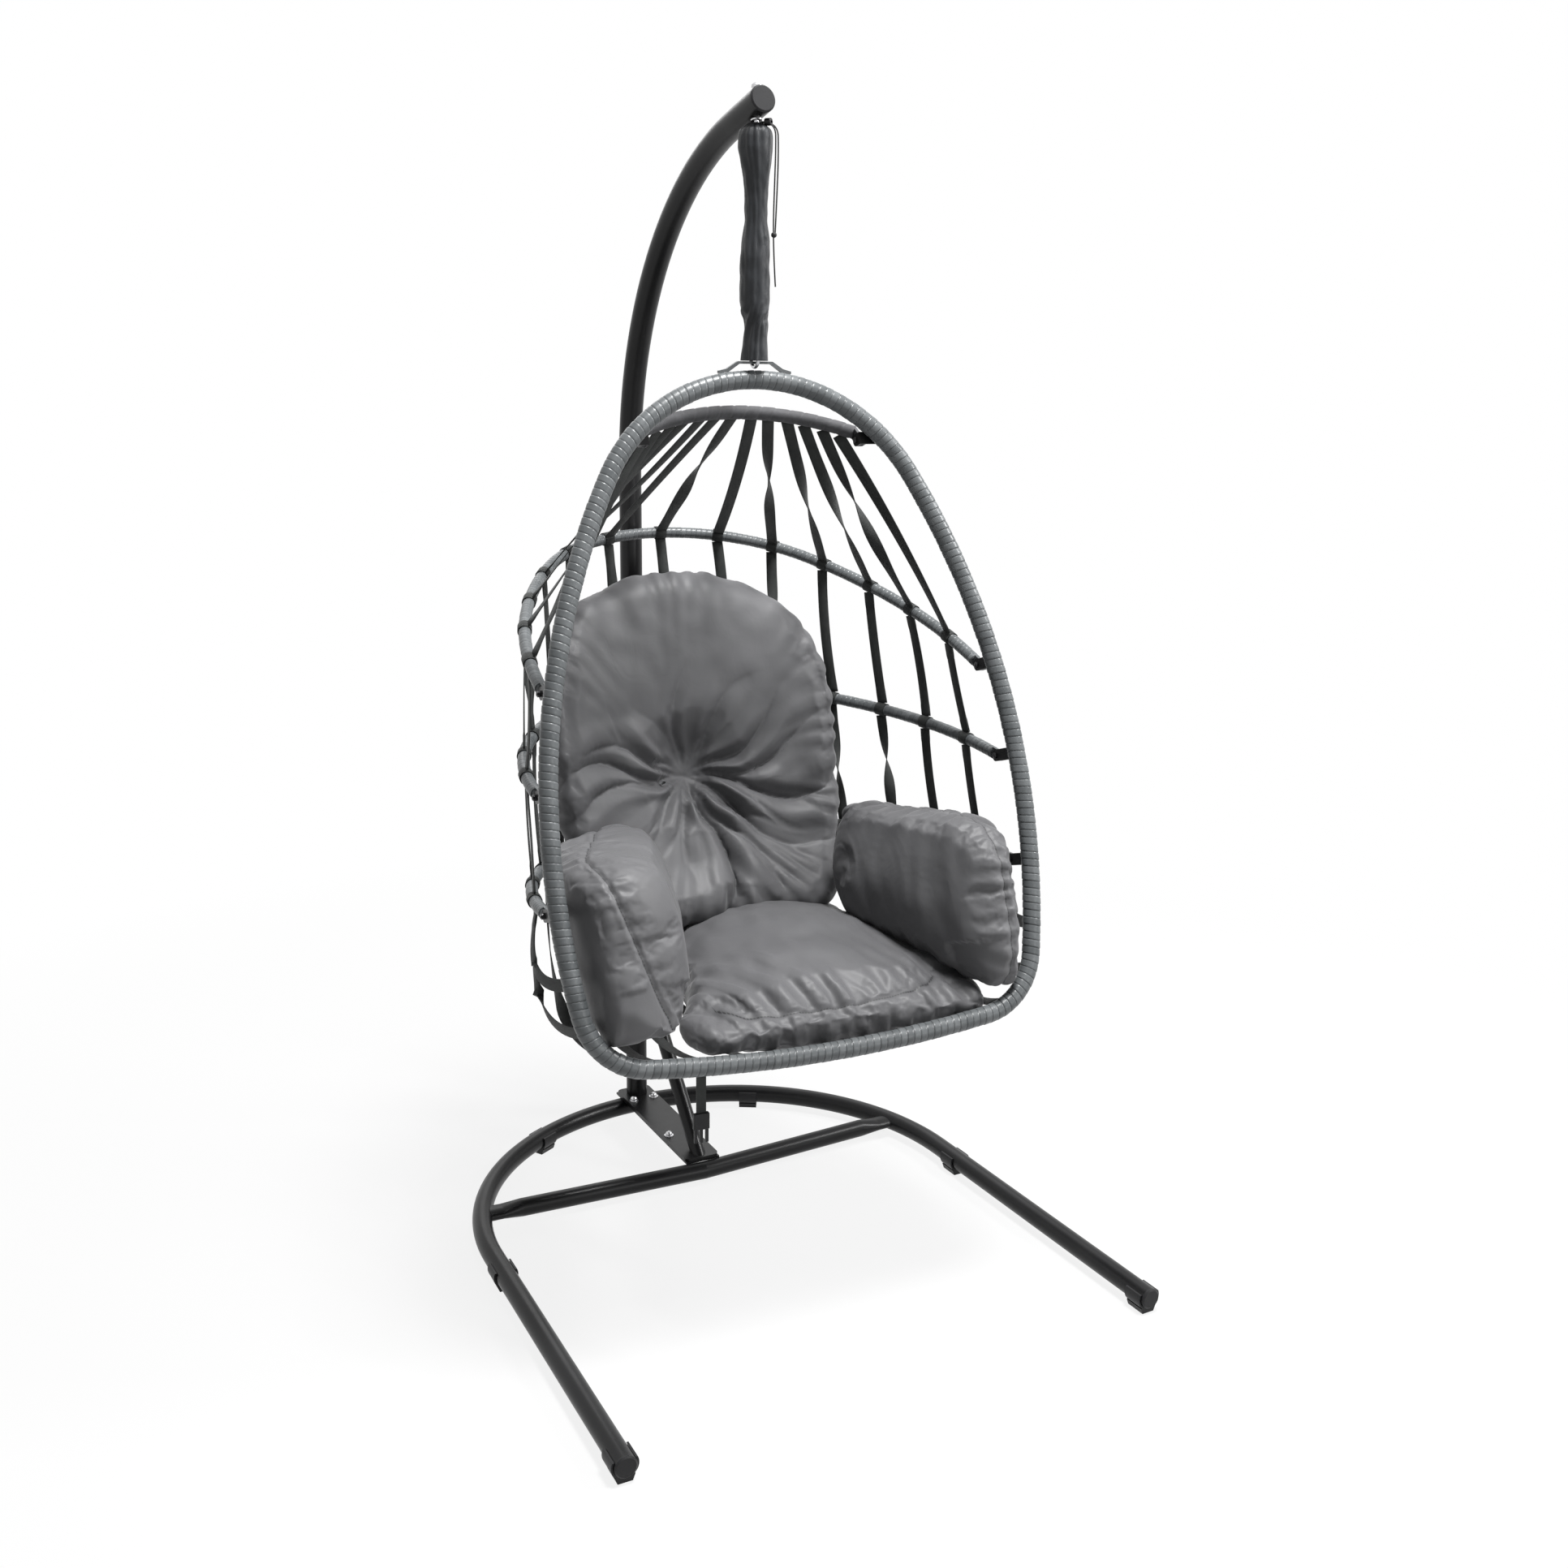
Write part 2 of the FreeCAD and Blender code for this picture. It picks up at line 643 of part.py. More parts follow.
def makeCap(label, diameter, wall, frame):
    """A plug cap: a rounded disc over the tube's end with a short plug inside; +Z points out of the tube."""
    body = newBody(label)
    sketch = newSketch(body, "Profile", "XZ_Plane")
    outer = size(diameter) / 2
    inner = outer - size(wall) - 0.3
    rim = size("capRim")
    plug = size("capPlug")
    fillet = size("capRound")
    edges = outline(sketch, [
        (0, -plug), (inner, -plug), (inner, 0), (outer, 0),
        (outer, rim - fillet), (outer - fillet, rim), (0, rim),
    ])
    straights = ((0, "Horizontal"), (1, "Vertical"), (2, "Horizontal"), (3, "Vertical"), (5, "Horizontal"))
    for i, kind in straights + ((6, "Vertical"),):
        tie(sketch, kind, edges[i])
    tie(sketch, "PointOnObject", edges[2], 1, -1)
    tie(sketch, "PointOnObject", edges[6], 1, -2)
    hold(sketch, "-Sizes.capPlug", "DistanceY", -1, 1, edges[0], 1, -plug)
    hold(sketch, "Sizes.%s / 2 - Sizes.%s - 0.3" % (diameter, wall), "DistanceX", -1, 1, edges[1], 1, inner)
    hold(sketch, "Sizes.%s / 2" % diameter, "DistanceX", -1, 1, edges[3], 1, outer)
    hold(sketch, "Sizes.capRim", "DistanceY", -1, 1, edges[5], 1, rim)
    hold(sketch, "Sizes.capRound", "DistanceX", edges[4], 2, edges[4], 1, fillet)
    hold(sketch, "Sizes.capRound", "DistanceY", edges[4], 1, edges[4], 2, fillet)
    turn = body.newObject("PartDesign::Revolution", label + "Turn")
    turn.Profile = sketch
    turn.ReferenceAxis = (sketch, ["V_Axis"])
    turn.Angle = 360
    body.Tip = turn
    body.Placement = frame
    return keep(body, label)


def makeFootClip(label, place, heading):
    """A saddle clip snapped round the tube from below, with a sole under it."""
    inner = size("baseTube") / 2 + size("clipGap")
    outer = inner + size("clipWall")
    lift = size("clipLift")
    half = size("clipSoleWidth") / 2
    bottom = -tubeHeight
    body = newBody(label)
    ring = newSketch(body, "Ring", "XZ_Plane")
    addCircle(ring, ("Sizes.baseTube + 2 * Sizes.clipGap + 2 * Sizes.clipWall", 2 * outer))
    addPad(body, ring, "Sizes.clipLength", middle=True)
    sole = newSketch(body, "Sole", "XZ_Plane")
    rise = -inner + 1.5
    edges = outline(sole, [(-half + 4, bottom), (half - 4, bottom), (half, rise), (-half, rise)])
    tie(sole, "Horizontal", edges[0])
    tie(sole, "Horizontal", edges[2])
    hold(sole, "-Sizes.baseTube / 2 - Sizes.soleHeight", "DistanceY", -1, 1, edges[0], 1, bottom)
    hold(sole, "-Sizes.baseTube / 2 - Sizes.clipGap + 1.5", "DistanceY", -1, 1, edges[2], 1, rise)
    for index, sign, inset in ((0, "-", 4), (1, "", 4), (2, "", 0), (3, "-", 0)):
        value = (half - inset) * (-1 if sign else 1)
        offset = "%s(Sizes.clipSoleWidth / 2 - %d)" % (sign, inset)
        hold(sole, offset, "DistanceX", -1, 1, edges[index], 1, value)
    addPad(body, sole, "Sizes.clipLength", middle=True)
    bore = newSketch(body, "Bore", "XZ_Plane")
    addCircle(bore, ("Sizes.baseTube + 2 * Sizes.clipGap", 2 * inner))
    addThroughCut(body, bore)
    mouth = newSketch(body, "Mouth", "XZ_Plane")
    rectangle(
        mouth, ("-Sizes.baseTube", -size("baseTube")), ("Sizes.baseTube", size("baseTube")),
        ("Sizes.clipLift", lift), ("Sizes.baseTube", size("baseTube")),
    )
    addThroughCut(body, mouth)
    body.Placement = stand * Placement(place, rotZ(heading))
    return keep(body, label)


def makeFootClips():
    radius = size("ringRadius")
    angle = math.radians(size("rearClipAngle"))
    depth = size("baseDepth")
    spread = size("legHalfSpread")
    lean = legLine()[2]
    for side, word in ((-1, "left"), (1, "right")):
        rear = Vector(side * radius * math.sin(angle), -radius + radius * math.cos(angle), 0)
        makeFootClip("rear_clip_" + word, rear, 90 - side * size("rearClipAngle"))
        ahead = size("legClipAhead")
        share = ahead / (depth - radius)
        leg = Vector(side * (radius + (spread - radius) * share), -radius - ahead, 0)
        makeFootClip("leg_clip_" + word, leg, side * lean)
        inset = size("endClipInset")
        share = 1 - inset / (depth - radius)
        end = Vector(side * (radius + (spread - radius) * share), -depth + inset, 0)
        makeFootClip("end_clip_" + word, end, side * lean)


# Hanger
def ringWire(bow, straight):
    """A closed stadium in the XZ plane, centred, with half-circle bows at the top and the bottom."""
    half = straight / 2
    left, right = -bow, bow
    top = Part.Arc(Vector(right, 0, half), Vector(0, 0, half + bow), Vector(left, 0, half)).toShape()
    low = Part.Arc(Vector(left, 0, -half), Vector(0, 0, -half - bow), Vector(right, 0, -half)).toShape()
    edges = [top]
    if straight > 0.01:
        edges.append(Part.makeLine(Vector(left, 0, half), Vector(left, 0, -half)))
    edges.append(low)
    if straight > 0.01:
        edges.append(Part.makeLine(Vector(right, 0, -half), Vector(right, 0, half)))
    return Part.Wire(edges)


def sweepRound(path, radius):
    """A round bar along a wire whose first edge starts at the section."""
    edge = path.OrderedEdges[0]
    start = edge.valueAt(edge.FirstParameter)
    ahead = edge.tangentAt(edge.FirstParameter)
    if edge.Orientation == "Reversed":
        start = edge.valueAt(edge.LastParameter)
        ahead = ahead * -1
    section = Part.Wire([Part.makeCircle(radius, start, ahead)])
    return path.makePipeShell([section], True, False)


def makeRing(bow, straight, wire, centre, turned):
    ring = sweepRound(ringWire(bow, straight), wire / 2)
    spin = rotZ(90 if turned else 0)
    ring.Placement = Placement(centre, spin)
    return ring


def bendTo(start, ahead, end):
    """The arc that leaves start along the unit vector ahead and ends at end."""
    chord = end - start
    across = ahead - chord * (ahead.dot(chord) / chord.dot(chord))
    if across.Length < 1e-6:
        return Part.makeLine(start, end)
    half = math.acos(max(-1, min(1, ahead.dot(chord) / chord.Length)))
    top = (start + end) * 0.5 + across.normalize() * (chord.Length / 2 * math.tan(half / 2))
    return Part.Arc(start, top, end).toShape()


def twoArcs(start, ahead, end, arrive):
    """Two tangent arcs between two points with given directions."""
    span = end - start
    both = ahead + arrive
    bend = 2 * (1 - ahead.dot(arrive))
    reach = (-span.dot(both) + math.sqrt(span.dot(both) ** 2 + bend * span.dot(span))) / bend
    middle = (start + end + (ahead - arrive) * reach) * 0.5
    second = bendTo(end, arrive * -1, middle)
    return [bendTo(start, ahead, middle), second]


def makeSpring(top):
    """A coil with a loop at each end, in one unbroken wire; the lower loop is a quarter turn from the upper.

    top is the middle of the upper loop's crown; returns the solid and the height of the lower one.
    """
    radius = size("springRadius")
    pitch = size("springPitch")
    steps = 4 * int(size("springTurns")) + 1

    def coil(step):
        angle = step * math.pi / 2
        place = Vector(radius * math.cos(angle), radius * math.sin(angle), -pitch * step / 4)
        climb = -pitch / (2 * math.pi)
        ahead = Vector(-radius * math.sin(angle), radius * math.cos(angle), climb).normalize()
        return place, ahead

    loop = size("springLoop")
    neck = size("springNeck")

    def endLoop(step, sign):
        place, ahead = coil(step)
        out = Vector(ahead.x, ahead.y, 0).normalize() * (-sign)
        middle = Vector(0, 0, place.z + sign * (neck + loop))
        crown = middle + Vector(0, 0, sign * loop)
        found = twoArcs(place, ahead * -sign, middle + out * loop, Vector(0, 0, sign))
        found.append(Part.Arc(middle + out * loop, crown, middle - out * loop).toShape())
        tip = middle - out * (loop * 0.5) - Vector(0, 0, sign * loop * 0.866)
        side = middle - out * (loop * 0.866) - Vector(0, 0, sign * loop * 0.5)
        found.append(Part.Arc(middle - out * loop, side, tip).toShape())
        return found

    edges = []
    for step in range(steps):
        edges += twoArcs(*coil(step), *coil(step + 1))
    path = Part.Wire(Part.__sortEdges__(endLoop(0, 1) + edges + endLoop(steps, -1)))
    solid = sweepRound(path, size("springWire") / 2)
    solid.translate(top - Vector(0, 0, neck + 2 * loop))
    return solid, top.z - 2 * (neck + 2 * loop) - pitch * steps / 4


def makeHanger(underside):
    """Eye bolt, upper hook, two chain links, spring and lower hook, each resting in the last."""
    gap = size("touchGap")
    upright = Vector(0, hangBack, 0)
    eyeZ = underside - size("eyeDrop")
    eye = Part.makeTorus(size("eyeRadius"), size("eyeWire") / 2, Vector(0, 0, 0), Vector(1, 0, 0))
    tubeTop = underside + size("postTube") / math.sin(math.radians(size("postBendAngle")))
    shankLow = size("eyeRadius")
    shank = Part.makeCylinder(size("eyeWire") / 2, tubeTop - eyeZ - shankLow + 1, Vector(0, 0, shankLow))
    head = roundBolt(size("eyeWire"), 2, 17, 8)
    head.translate(Vector(0, 0, tubeTop - eyeZ + 2.2))
    lean = 90 - size("postBendAngle")
    washer = Part.makeCylinder(9, 2, Vector(0, 0, 0)).cut(Part.makeCylinder(size("eyeWire") / 2 - 0.5, 2))
    washer.Placement = Placement(Vector(0, 0, underside - eyeZ - 2.2), rotX(-lean))
    bolt = eye.fuse([shank, head, washer]).removeSplitter()
    bolt.translate(upright + Vector(0, 0, eyeZ))
    addFeature("hang_eye", bolt)

    hookR = size("hookWire") / 2
    bow = size("hookBow")
    hookTop = eyeZ - (size("eyeRadius") - size("eyeWire") / 2 - hookR - gap)
    hookMiddle = hookTop - bow - size("hookStraight") / 2
    hook = makeRing(bow, size("hookStraight"), size("hookWire"), upright + Vector(0, 0, hookMiddle), False)
    addFeature("upper_hook", hook)
    hookLow = hookMiddle - size("hookStraight") / 2 - bow
    sidePivot = hookLow + bow

    linkR = size("linkWire") / 2
    linkBow = size("linkBow")
    half = size("linkStraight") / 2 + linkBow
    firstTop = hookLow + hookR + linkR + gap
    straight, wire = size("linkStraight"), size("linkWire")
    first = makeRing(linkBow, straight, wire, upright + Vector(0, 0, firstTop - half), True)
    secondTop = firstTop - 2 * half + 2 * linkR + gap
    second = makeRing(linkBow, straight, wire, upright + Vector(0, 0, secondTop - half), False)
    addFeature("chain_links", Part.makeCompound([first, second]))

    springTop = secondTop - 2 * half + linkR + size("springWire") / 2 + gap
    spring, springLow = makeSpring(Vector(0, hangBack, springTop))
    addFeature("coil_spring", spring)

    lowR = size("lowerHookWire") / 2
    lowBow = size("lowerHookBow")
    lowTop = springLow + size("springWire") / 2 + lowR + gap
    barBottom = size("hoopTop") + hoopRadius + size("bridgeClear")
    inner = lowBow - lowR
    # half the bar, seen as wide as it is when the basket has turned
    half = size("bridgeDepth") * 0.66
    sag = inner - math.sqrt(inner ** 2 - half ** 2)
    lowLow = barBottom - sag - gap - lowR
    lower = makeRing(
        lowBow, lowTop - lowLow - 2 * lowBow, size("lowerHookWire"),
        upright + Vector(0, 0, (lowTop + lowLow) / 2), True,
    )
    barTop = barBottom + size("bridgeThick")
    return {"eye": eyeZ, "side": sidePivot, "lower": lower, "springLow": springLow, "barTop": barTop}


# The hoop's outline in its own plane: top arc, side arc, corner, bottom arc.
def hoopArcs():
    """Centres and ends of the right half's four arcs, from the top; down the plane is negative."""
    top = size("hoopTopRadius")
    half = size("hoopHalfWidth")
    widest = size("hoopWidestDrop")
    height = size("hoopHeight")
    corner = size("hoopCorner")
    bottom = size("hoopBottomRadius")
    # (half - r)^2 + (widest - top)^2 = (r - top)^2 gives the side arc's radius.
    side = (half ** 2 + (widest - top) ** 2 - top ** 2) / (2 * (half - top))
    topCentre = Vector(0, -top, 0)
    sideCentre = Vector(half - side, -widest, 0)
    bottomCentre = Vector(0, -height + bottom, 0)
    # The corner's centre is (side - corner) from one centre and (bottom - corner) from the other.
    reachSide = side - corner
    reachBottom = bottom - corner
    between = bottomCentre - sideCentre
    gap = between.Length
    along = (reachSide ** 2 - reachBottom ** 2 + gap ** 2) / (2 * gap)
    away = math.sqrt(reachSide ** 2 - along ** 2)
    unit = between * (1 / gap)
    across = Vector(unit.y, -unit.x, 0)
    cornerCentre = sideCentre + unit * along + across * away
    joinTop = topCentre + (topCentre - sideCentre).normalize() * top
    joinSide = sideCentre + (cornerCentre - sideCentre).normalize() * side
    joinBottom = bottomCentre + (cornerCentre - bottomCentre).normalize() * bottom
    return {
        "centres": [topCentre, sideCentre, cornerCentre, bottomCentre],
        "radii": [top, side, corner, bottom],
        "ends": [Vector(0, 0, 0), joinTop, joinSide, joinBottom, Vector(0, -height, 0)],
    }


hoop = hoopArcs()


def hoopHalfAt(drop):
    """The hoop's half width at a drop below its top, on its sides."""
    ends = hoop["ends"]
    for i in range(3):
        if drop <= -ends[i + 1].y + 1e-9:
            centre = hoop["centres"][i]
            return centre.x + math.sqrt(hoop["radii"][i] ** 2 - (-drop - centre.y) ** 2)
    raise ValueError("the drop is below the hoop's corners")


def hoopPath(body):
    """The right half of the hoop as a chain of four tangent arcs."""
    path = newSketch(body, "Path", "XZ_Plane")
    arcs = []
    for i in range(4):
        centre = hoop["centres"][i]
        radius = hoop["radii"][i]
        start = hoop["ends"][i]
        end = hoop["ends"][i + 1]
        first = math.atan2(end.y - centre.y, end.x - centre.x)
        last = math.atan2(start.y - centre.y, start.x - centre.x)
        circle = Part.Circle(centre, Vector(0, 0, 1), radius)
        arcs.append(path.addGeometry(Part.ArcOfCircle(circle, first, last), False))
    mark = path.addGeometry(Part.Point(Vector(size("hoopHalfWidth"), -size("hoopWidestDrop"), 0)), True)
    tie(path, "Coincident", arcs[0], 2, -1, 1)
    tie(path, "PointOnObject", arcs[0], 3, -2)
    hold(path, "Sizes.hoopTopRadius", "Radius", arcs[0], hoop["radii"][0])
    for i in range(3):
        tie(path, "Tangent", arcs[i], 1, arcs[i + 1], 2)
    hold(path, "Sizes.hoopHalfWidth", "DistanceX", -1, 1, mark, 1, size("hoopHalfWidth"))
    hold(path, "-Sizes.hoopWidestDrop", "DistanceY", -1, 1, mark, 1, -size("hoopWidestDrop"))
    tie(path, "PointOnObject", mark, 1, arcs[1])
    tie(path, "Horizontal", mark, 1, arcs[1], 3)
    hold(path, "Sizes.hoopCorner", "Radius", arcs[2], size("hoopCorner"))
    tie(path, "PointOnObject", arcs[3], 3, -2)
    hold(path, "Sizes.hoopBottomRadius", "Radius", arcs[3], size("hoopBottomRadius"))
    tie(path, "PointOnObject", arcs[3], 1, -2)
    hold(path, "-Sizes.hoopHeight", "DistanceY", -1, 1, arcs[3], 1, -size("hoopHeight"))
    return path


def makeHoopPipe(label, outer, inner):
    """A full hoop of round pipe; outer and inner are (expression, diameter)."""
    body = newBody(label)
    path = hoopPath(body)
    profile = newSketch(body, "Section", "YZ_Plane")
    addCircle(profile, outer)
    addCircle(profile, inner)
    pipe = body.newObject("PartDesign::AdditivePipe", label + "Pipe")
    pipe.Profile = profile
    pipe.Spine = (path, ["Edge%d" % (i + 1) for i in range(4)])
    body.Tip = pipe
    addMirror(body, [pipe], "YZ_Plane")
    body.Placement = hoopPlane
    return keep(body, label)


def makeBow(name):
    """A hinged bow: a rear arc and two side arcs that end in flat eyelets on the hinge line."""
    label = name + "_bow"
    body = newBody(label)
    half = size(name + "Half")
    reach = size(name + "Reach")
    bend = size(name + "Bend")
    start = size(name + "Start")
    tube = "topBowTube" if name == "top" else "bowTube"
    path = newSketch(body, "Path", "XY_Plane")
    if bend > 0:
        depth = reach - start
        side = (bend ** 2 - half ** 2 - (depth - bend) ** 2) / (2 * (bend - half))
        rearCentre = Vector(0, reach - bend, 0)
        sideCentre = Vector(half - side, start, 0)
        joint = rearCentre + (rearCentre - sideCentre).normalize() * bend
        rear = Part.Circle(rearCentre, Vector(0, 0, 1), bend)
        flank = Part.Circle(sideCentre, Vector(0, 0, 1), side)
        turn = math.atan2(joint.y - rearCentre.y, joint.x - rearCentre.x)
        first = path.addGeometry(Part.ArcOfCircle(rear, turn, math.pi / 2), False)
        second = path.addGeometry(Part.ArcOfCircle(flank, 0, turn), False)
        hold(path, "Sizes.%sBend" % name, "Radius", first, bend)
        tie(path, "Tangent", first, 1, second, 2)
        tie(path, "Horizontal", second, 1, second, 3)
        last = second
    else:
        depth = reach - start
        radius = (half ** 2 + depth ** 2) / (2 * depth)
        centre = Vector(0, reach - radius, 0)
        turn = math.atan2(start - centre.y, half)
        circle = Part.Circle(centre, Vector(0, 0, 1), radius)
        first = path.addGeometry(Part.ArcOfCircle(circle, turn, math.pi / 2), False)
        last = first
    tie(path, "PointOnObject", first, 3, -2)
    tie(path, "PointOnObject", first, 2, -2)
    hold(path, "Sizes.%sReach" % name, "DistanceY", -1, 1, first, 2, reach)
    hold(path, "Sizes.%sHalf" % name, "DistanceX", -1, 1, last, 1, half)
    hold(path, "Sizes.%sStart" % name, "DistanceY", -1, 1, last, 1, start)
    profile = tubeProfile(body, "YZ_Plane", tube, "bowWall", ("Sizes.%sReach" % name, reach), None)
    pipe = addPipe(body, profile, path)
    # The eyelet: a flat tongue with a round end and a bolt hole.
    wide = size("eyeletWidth") / 2
    offset = "Sizes.%sHalf" % name
    tongue = newSketch(body, "Tongue", "YZ_Plane", offset)
    rectangle(
        tongue, ("0", 0), ("Sizes.eyeletLength + 4", size("eyeletLength") + 4),
        ("-Sizes.eyeletWidth / 2", -wide), ("Sizes.eyeletWidth / 2", wide),
    )
    tonguePad = addPad(body, tongue, "Sizes.eyeletThick", middle=True)
    nose = newSketch(body, "Nose", "YZ_Plane", offset)
    addCircle(nose, ("Sizes.eyeletWidth", 2 * wide))
    nosePad = addPad(body, nose, "Sizes.eyeletThick", middle=True)
    addMirror(body, [pipe, tonguePad, nosePad], "YZ_Plane")
    hole = newSketch(body, "Hole", "YZ_Plane")
    addCircle(hole, ("Sizes.hingeBolt + 0.4", size("hingeBolt") + 0.4))
    addThroughCut(body, hole)
    body.Placement = hang * bowFrame(name)
    return keep(body, label)


def makeHingeForks(name):
    """The pair of forks welded to the back of the hoop for one bow."""
    off = size(name + "Off")
    wide = size("eyeletWidth") / 2
    thick = size("cheekThick")
    web = hoopRadius + size("touchGap")
    near = size("eyeletThick") / 2 + size("cheekGap")
    far = near + thick
    forks = []
    for side in (-1, 1):
        x = side * size(name + "Half")
        cheeks = []
        for start in (near, -far):
            plate = Part.makeBox(thick, off - web, 2 * wide, Vector(x + start, web, -wide))
            nose = Part.makeCylinder(wide, thick, Vector(x + start, off, 0), Vector(1, 0, 0))
            drill = size("hingeBolt") / 2 + 0.2
            hole = Part.makeCylinder(drill, thick, Vector(x + start, off, 0), Vector(1, 0, 0))
            cheeks.append(plate.fuse(nose).cut(hole))
        fork = Part.makeBox(2 * far, thick, 2 * wide, Vector(x - far, web, -wide)).fuse(cheeks)
        reach = hoopHalfAt(size(name + "Drop")) - abs(x)
        if reach > far:
            # The narrow top bow is hinged inside the tube's line, so a tab carries its fork out to the tube.
            reach += hoopRadius / 2
            fork = fork.fuse(Part.makeBox(
                reach, thick, 2 * wide, Vector(x if side > 0 else x - reach, web, -wide)))
        forks.append(fork.removeSplitter())
    place = hoopPlane * Placement(Vector(0, 0, -size(name + "Drop")), Rotation())
    return addFeature(name + "_hinge_forks", Part.makeCompound(forks), place)


def makeHingeBolts():
    """Eight bolts with nuts, one through each fork and eyelet."""
    reach = size("eyeletThick") / 2 + size("cheekGap") + size("cheekThick") + 0.2
    bolts = []
    for name in bows:
        for side in (-1, 1):
            head, headHeight = size("hingeBoltHead"), size("hingeBoltHeadHeight")
            bolt = roundBolt(size("hingeBolt"), 2 * reach + 6, head, headHeight)
            nut = Part.makeCylinder(size("hingeBoltHead") / 2, 4.5, Vector(0, 0, -2 * reach - 4.5))
            bolt = bolt.fuse(nut).removeSplitter()
            seat = Placement(
                Vector(side * (size(name + "Half") - reach), size(name + "Off"), -size(name + "Drop")),
                Rotation(Vector(0, 1, 0), -90 * side),
            )
            bolt.Placement = hoopPlane * seat
            bolts.append(bolt)
    addFeature("hinge_bolts", Part.makeCompound(bolts))


def makeBridge(barTop):
    """The low flat-bar loop on the hoop's top, which the lower hook passes under."""
    half = size("bridgeHalfWidth")
    thick = size("bridgeThick")
    deep = size("bridgeDepth")
    top = barTop - size("hoopTop")
    crownY = hoop["radii"][0]
    footHalf = half + 14
    around = crownY + hoopRadius + 3 * size("touchGap")
    under = math.sqrt(around ** 2 - footHalf ** 2) - crownY
    underInner = math.sqrt(around ** 2 - half ** 2) - crownY
    rightSide = [
        (half * 0.62, top), (half, underInner + thick + 1), (footHalf, under + thick), (footHalf, under),
        (half - 3, underInner), (half * 0.56, top - thick),
    ]
    leftSide = [(-x, z) for x, z in reversed(rightSide)]
    corners = [Vector(x, -deep / 2, z) for x, z in rightSide + leftSide]
    bar = Part.Face(Part.makePolygon(corners + [corners[0]])).extrude(Vector(0, deep, 0))
    return addFeature("hang_bridge", bar, hang * Placement(Vector(0, 0, size("hoopTop")), Rotation()))


# Sleeve, drawstring and toggle
sleeveRings = [
    # (share of the height from the top, radius, sideways shift, flattening)
    (0.0, 5.8, 0.0, 1.0), (0.008, 12.0, 0.0, 1.0), (0.020, 21.0, -0.5, 1.0), (0.05, 24.0, -1.0, 1.02),
    (0.10, 24.8, -1.5, 1.0), (0.19, 20.5, 0.0, 0.98), (0.28, 16.6, 0.5, 1.0), (0.41, 15.7, 0.5, 1.0),
    (0.485, 19.6, 0.5, 1.02), (0.56, 21.4, -1.0, 1.0), (0.74, 21.6, -1.0, 1.02), (0.785, 20.4, 0.0, 0.98),
    (0.815, 17.2, 1.5, 0.90), (0.845, 17.0, 2.0, 0.90), (0.90, 17.6, 1.0, 0.96), (1.0, 20.0, -0.5, 0.98),
]


def ovalWire(place, wide, deep):
    """An oval of four arcs in a level plane."""
    c = 0.7071
    right, rear = Vector(wide, 0, 0), Vector(0, deep, 0)
    points = [right, right * c + rear * c, rear, rear * c - right * c, right * -1,
              right * -c - rear * c, rear * -1, right * c - rear * c]
    spots = [place + p for p in points]
    return Part.Wire([
        Part.Arc(spots[i], spots[i + 1], spots[(i + 2) % 8]).toShape() for i in (0, 2, 4, 6)
    ])


def makeSleeve(topZ, lowZ):
    """The gathered cloth tube round the chain and the spring."""
    wall = size("sleeveWall")
    outer, inner = [], []
    for i, (share, radius, shift, flat) in enumerate(sleeveRings):
        place = Vector(shift, hangBack, topZ + (lowZ - topZ) * share)
        outer.append(ovalWire(place, radius * flat, radius / flat))
        past = {0: 0.5, len(sleeveRings) - 1: -0.5}.get(i, 0)
        inner.append(ovalWire(place + Vector(0, 0, past), radius * flat - wall, radius / flat - wall))
    shell = Part.makeLoft(outer, True, True).cut(Part.makeLoft(inner, True, True))
    return addFeature("spring_sleeve", shell)


def cordWire(points):
    """Straight runs joined by tangent arcs, each as wide as its two runs allow."""
    edges = []
    last = points[0]
    for i in range(1, len(points) - 1):
        before = points[i - 1] - points[i]
        after = points[i + 1] - points[i]
        trim = 0.45 * min(before.Length, after.Length)
        enter = points[i] + before * (trim / before.Length)
        leave = points[i] + after * (trim / after.Length)
        radius = trim / math.tan((math.pi - before.getAngle(after)) / 2)
        if radius < 3 * size("cordThick"):
            raise RuntimeError("the cord is bent too tightly: %.1f mm" % radius)
        edges.append(Part.makeLine(last, enter))
        edges.append(bendTo(enter, (points[i] - enter).normalize(), leave))
        last = leave
    edges.append(Part.makeLine(last, points[-1]))
    return Part.Wire(edges)


def cordSpot(out, along, z):
    """A place beside the sleeve: out from the hang axis towards the front right, along square to that."""
    turn = math.radians(size("cordTurn"))
    ahead = Vector(math.cos(turn), -math.sin(turn), 0)
    return Vector(0, hangBack, z) + ahead * out + Vector(-ahead.y, ahead.x, 0) * along


